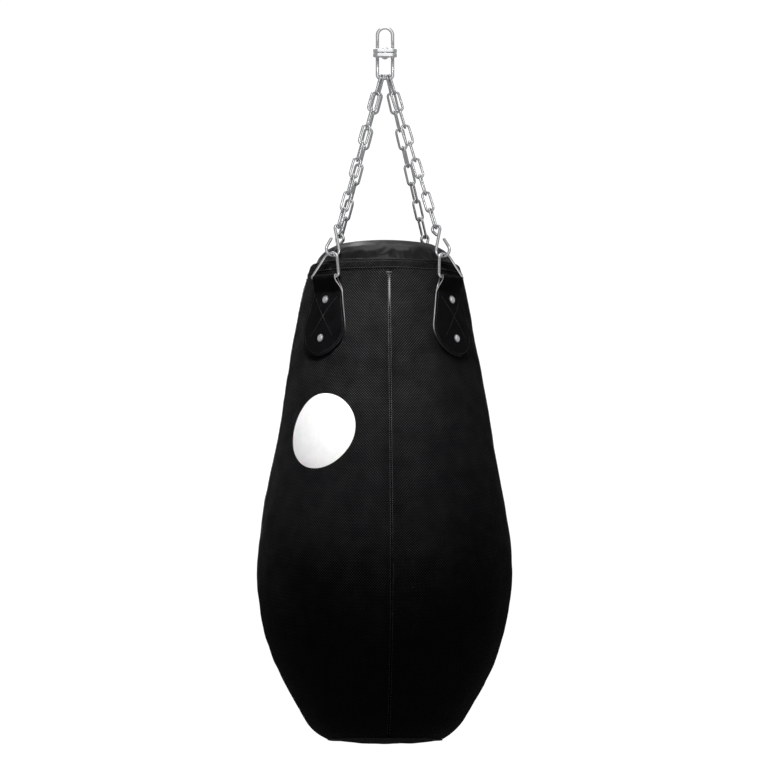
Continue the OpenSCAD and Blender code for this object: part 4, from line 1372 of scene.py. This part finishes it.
def soft_depth(azimuth, s):
    """The shell's offset without its grooves: what the layers under it follow."""
    return swell(azimuth, s) - seam_valley(from_seam(azimuth, s)[1])


# depths below the shell at which the layers inside it start and end
TAPE_DEPTHS = (4.2 * MM, 4.7 * MM)
LINER_DEPTHS = (5.0 * MM, 5.6 * MM)
FOAM_DEPTHS = (5.9 * MM, 24 * MM)


def lining(node, key, depths, start, end, bumps=0.0):
    """A layer all around the inside of the shell, from one length along the outline to another."""
    rows, steps = 110, 144
    outer, inner = depths
    s = np.linspace(start, end, rows)[:, None]
    azimuth = np.arange(steps)[None, :] * 360 / steps
    deep = soft_depth(azimuth, s)
    rough = waves(71, 0.03)(on_side(azimuth, s, 0.0)) * bumps
    points, faces = slab(on_side(azimuth, s, deep - outer - np.abs(rough)),
                         on_side(azimuth, s, deep - inner), wrap=True)
    return add_mesh(node + "_visual", points, faces, key, "bag", key, turn=True, sharp=50, node=node)


def seam_tape(name, azimuth):
    """The woven tape glued behind a seam."""
    low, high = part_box(f"seam_tape_{name}")
    s = np.linspace(float(s_at_height(high.z)), float(s_at_height(low.z)), 160)[:, None]
    across = np.linspace(-9, 9, 9)[None, :] * MM
    turn = azimuth + np.degrees(across / radius_at(s))
    points, faces = slab(*(on_side(turn, s, soft_depth(turn, s) - depth) for depth in TAPE_DEPTHS))
    flat = np.stack(np.broadcast_arrays(across, s), -1)
    add_mesh(f"seam_tape_{name}_visual", points, faces, "tape", "bag", "tape",
             flat=flat, turn=True, sharp=50, node=f"seam_tape_{name}")


def textile_core():
    """Packed offcuts: the core's own shape, sunk a little and lumpy all over."""
    piece = dressed_copy("textile_core", "textile", "bag")
    use_modifier(piece, "REMESH", mode="VOXEL", voxel_size=9 * MM)
    mesh = piece.data
    points = vertices_of(mesh)
    normals = np.array([v.normal for v in mesh.vertices], float)
    wads, rags = waves(81, 0.09), waves(82, 0.035)
    sunk = (4.2 + 1.3 * wads(points) + 0.9 * rags(points)) * MM
    mesh.vertices.foreach_set("co", (points - normals * sunk[:, None]).astype(np.float32).ravel())
    mesh.polygons.foreach_set("use_smooth", [True] * len(mesh.polygons))
    mesh.update()


for name, azimuth in SEAMS.items():
    seam_tape(name, azimuth)
lining("inner_liner", "liner", LINER_DEPTHS, 6 * MM, SIDE_LENGTH - 10 * MM)
foam = lining("foam_wrap", "foam", FOAM_DEPTHS, 10 * MM, SIDE_LENGTH - 30 * MM, bumps=0.3 * MM)
textile_core()
dressed_copy("rivet_burrs", "hook", "bag", 0.2 * MM)


# ---------------------------------------------------------------- studio

def area_light(name, at, aim, size, power, spread=180):
    """A soft box at a place, aimed at another, with its power in watts and its spread in degrees."""
    lamp = bpy.data.lights.new(name, "AREA")
    lamp.shape = "RECTANGLE"
    lamp.size, lamp.size_y = size
    lamp.energy = power
    lamp.spread = math.radians(spread)
    holder = new_object(name, lamp)
    holder.location = at
    holder.rotation_euler = (Vector(aim) - Vector(at)).to_track_quat("-Z", "Y").to_euler()
    holder.visible_camera = False
    return holder


def lights():
    """Soft boxes: some only light the surfaces, some only shine in them, and the rest do both."""
    front = area_light("front_box", (-0.22, -1.15, 1.55), (-0.03, -0.14, -0.63), (0.25, 0.30), 1.9, 15)
    front.visible_glossy = False
    area_light("lid_shine", (-0.5, 1.7, 1.5), (0, 0, -0.45), (0.7, 0.4), 6).visible_diffuse = False
    area_light("front_shine", (0.4, -3.0, 1.7), (0, 0, -0.6), (1.8, 1.0), 22).visible_diffuse = False
    area_light("front_wall", (0, -4.0, -0.2), (0, 0, -0.6), (3.6, 2.6), 22).visible_diffuse = False
    area_light("left_wall", (-1.3, 3.6, -0.2), (0, 0, -0.5), (0.8, 1.2), 4)
    area_light("right_wall", (1.2, 3.7, -0.2), (0, 0, -0.5), (0.6, 1.2), 1)
    area_light("top_box", (0, 0.3, 1.5), (0, 0, -0.4), (1.6, 1.6), 14)
    rear = area_light("rear_box", (0.3, 1.25, 1.55), (0, 0.14, -0.70), (0.4, 0.4), 3.2, 22)
    rear.visible_glossy = False


def paper_floor():
    """Pale paper that glows a little, so that it stays even, and that lights nothing above it."""
    half, z = 30, -2.1
    corners = [(-half, -half, z), (half, -half, z), (half, half, z), (-half, half, z)]
    mesh = new_mesh("floor", corners, [(0, 1, 2, 3)])
    floor = new_object("floor", mesh)
    paper = Material("floor_paper", 0.18, 0.8)
    mottle = paper.noise(3, 4)
    paper.put(paper.shader.inputs["Base Color"], paper.blend(mottle, 0.16, 0.20))
    paper.put(paper.shader.inputs["Emission Color"], paper.blend(mottle, 0.80, 0.84))
    paper.shader.inputs["Emission Strength"].default_value = 0.9
    mesh.materials.append(paper.made)
    floor.visible_diffuse = False
    floor.visible_glossy = False


def backdrop():
    """White to the camera, grey in the metals, and hardly any light on the rest."""
    world = bpy.data.worlds.new("studio")
    bpy.context.scene.world = world
    world.use_nodes = True
    tree = world.node_tree

    def white(strength):
        made = tree.nodes.new("ShaderNodeBackground")
        made.inputs[0].default_value = (1, 1, 1, 1)
        made.inputs[1].default_value = strength
        return made.outputs[0]

    path = tree.nodes.new("ShaderNodeLightPath")
    light = white(0.03)
    for ray, strength in (("Is Glossy Ray", 0.36), ("Is Camera Ray", 1.05)):
        mix = tree.nodes.new("ShaderNodeMixShader")
        tree.links.new(path.outputs[ray], mix.inputs[0])
        tree.links.new(light, mix.inputs[1])
        tree.links.new(white(strength), mix.inputs[2])
        light = mix.outputs[0]
    tree.links.new(light, tree.nodes["World Output"].inputs[0])


def camera():
    """A long lens far away, a little to the left of the front and a little below it."""
    distance, seen_width = 12, 1.536
    target = Vector((-0.002, 0, -0.715))
    side, down = math.radians(-3), math.radians(-5)
    lens = bpy.data.cameras.new("camera")
    lens.sensor_width = 36
    lens.lens = 36 * distance / seen_width
    lens.clip_end = 200
    holder = new_object("camera", lens)
    way = Vector((math.sin(side) * math.cos(down), -math.cos(side) * math.cos(down), math.sin(down)))
    holder.location = target + distance * way
    holder.rotation_euler = (target - holder.location).to_track_quat("-Z", "Y").to_euler()
    bpy.context.scene.camera = holder


lights()
paper_floor()
backdrop()
camera()
bpy.context.scene.view_settings.view_transform = "Standard"
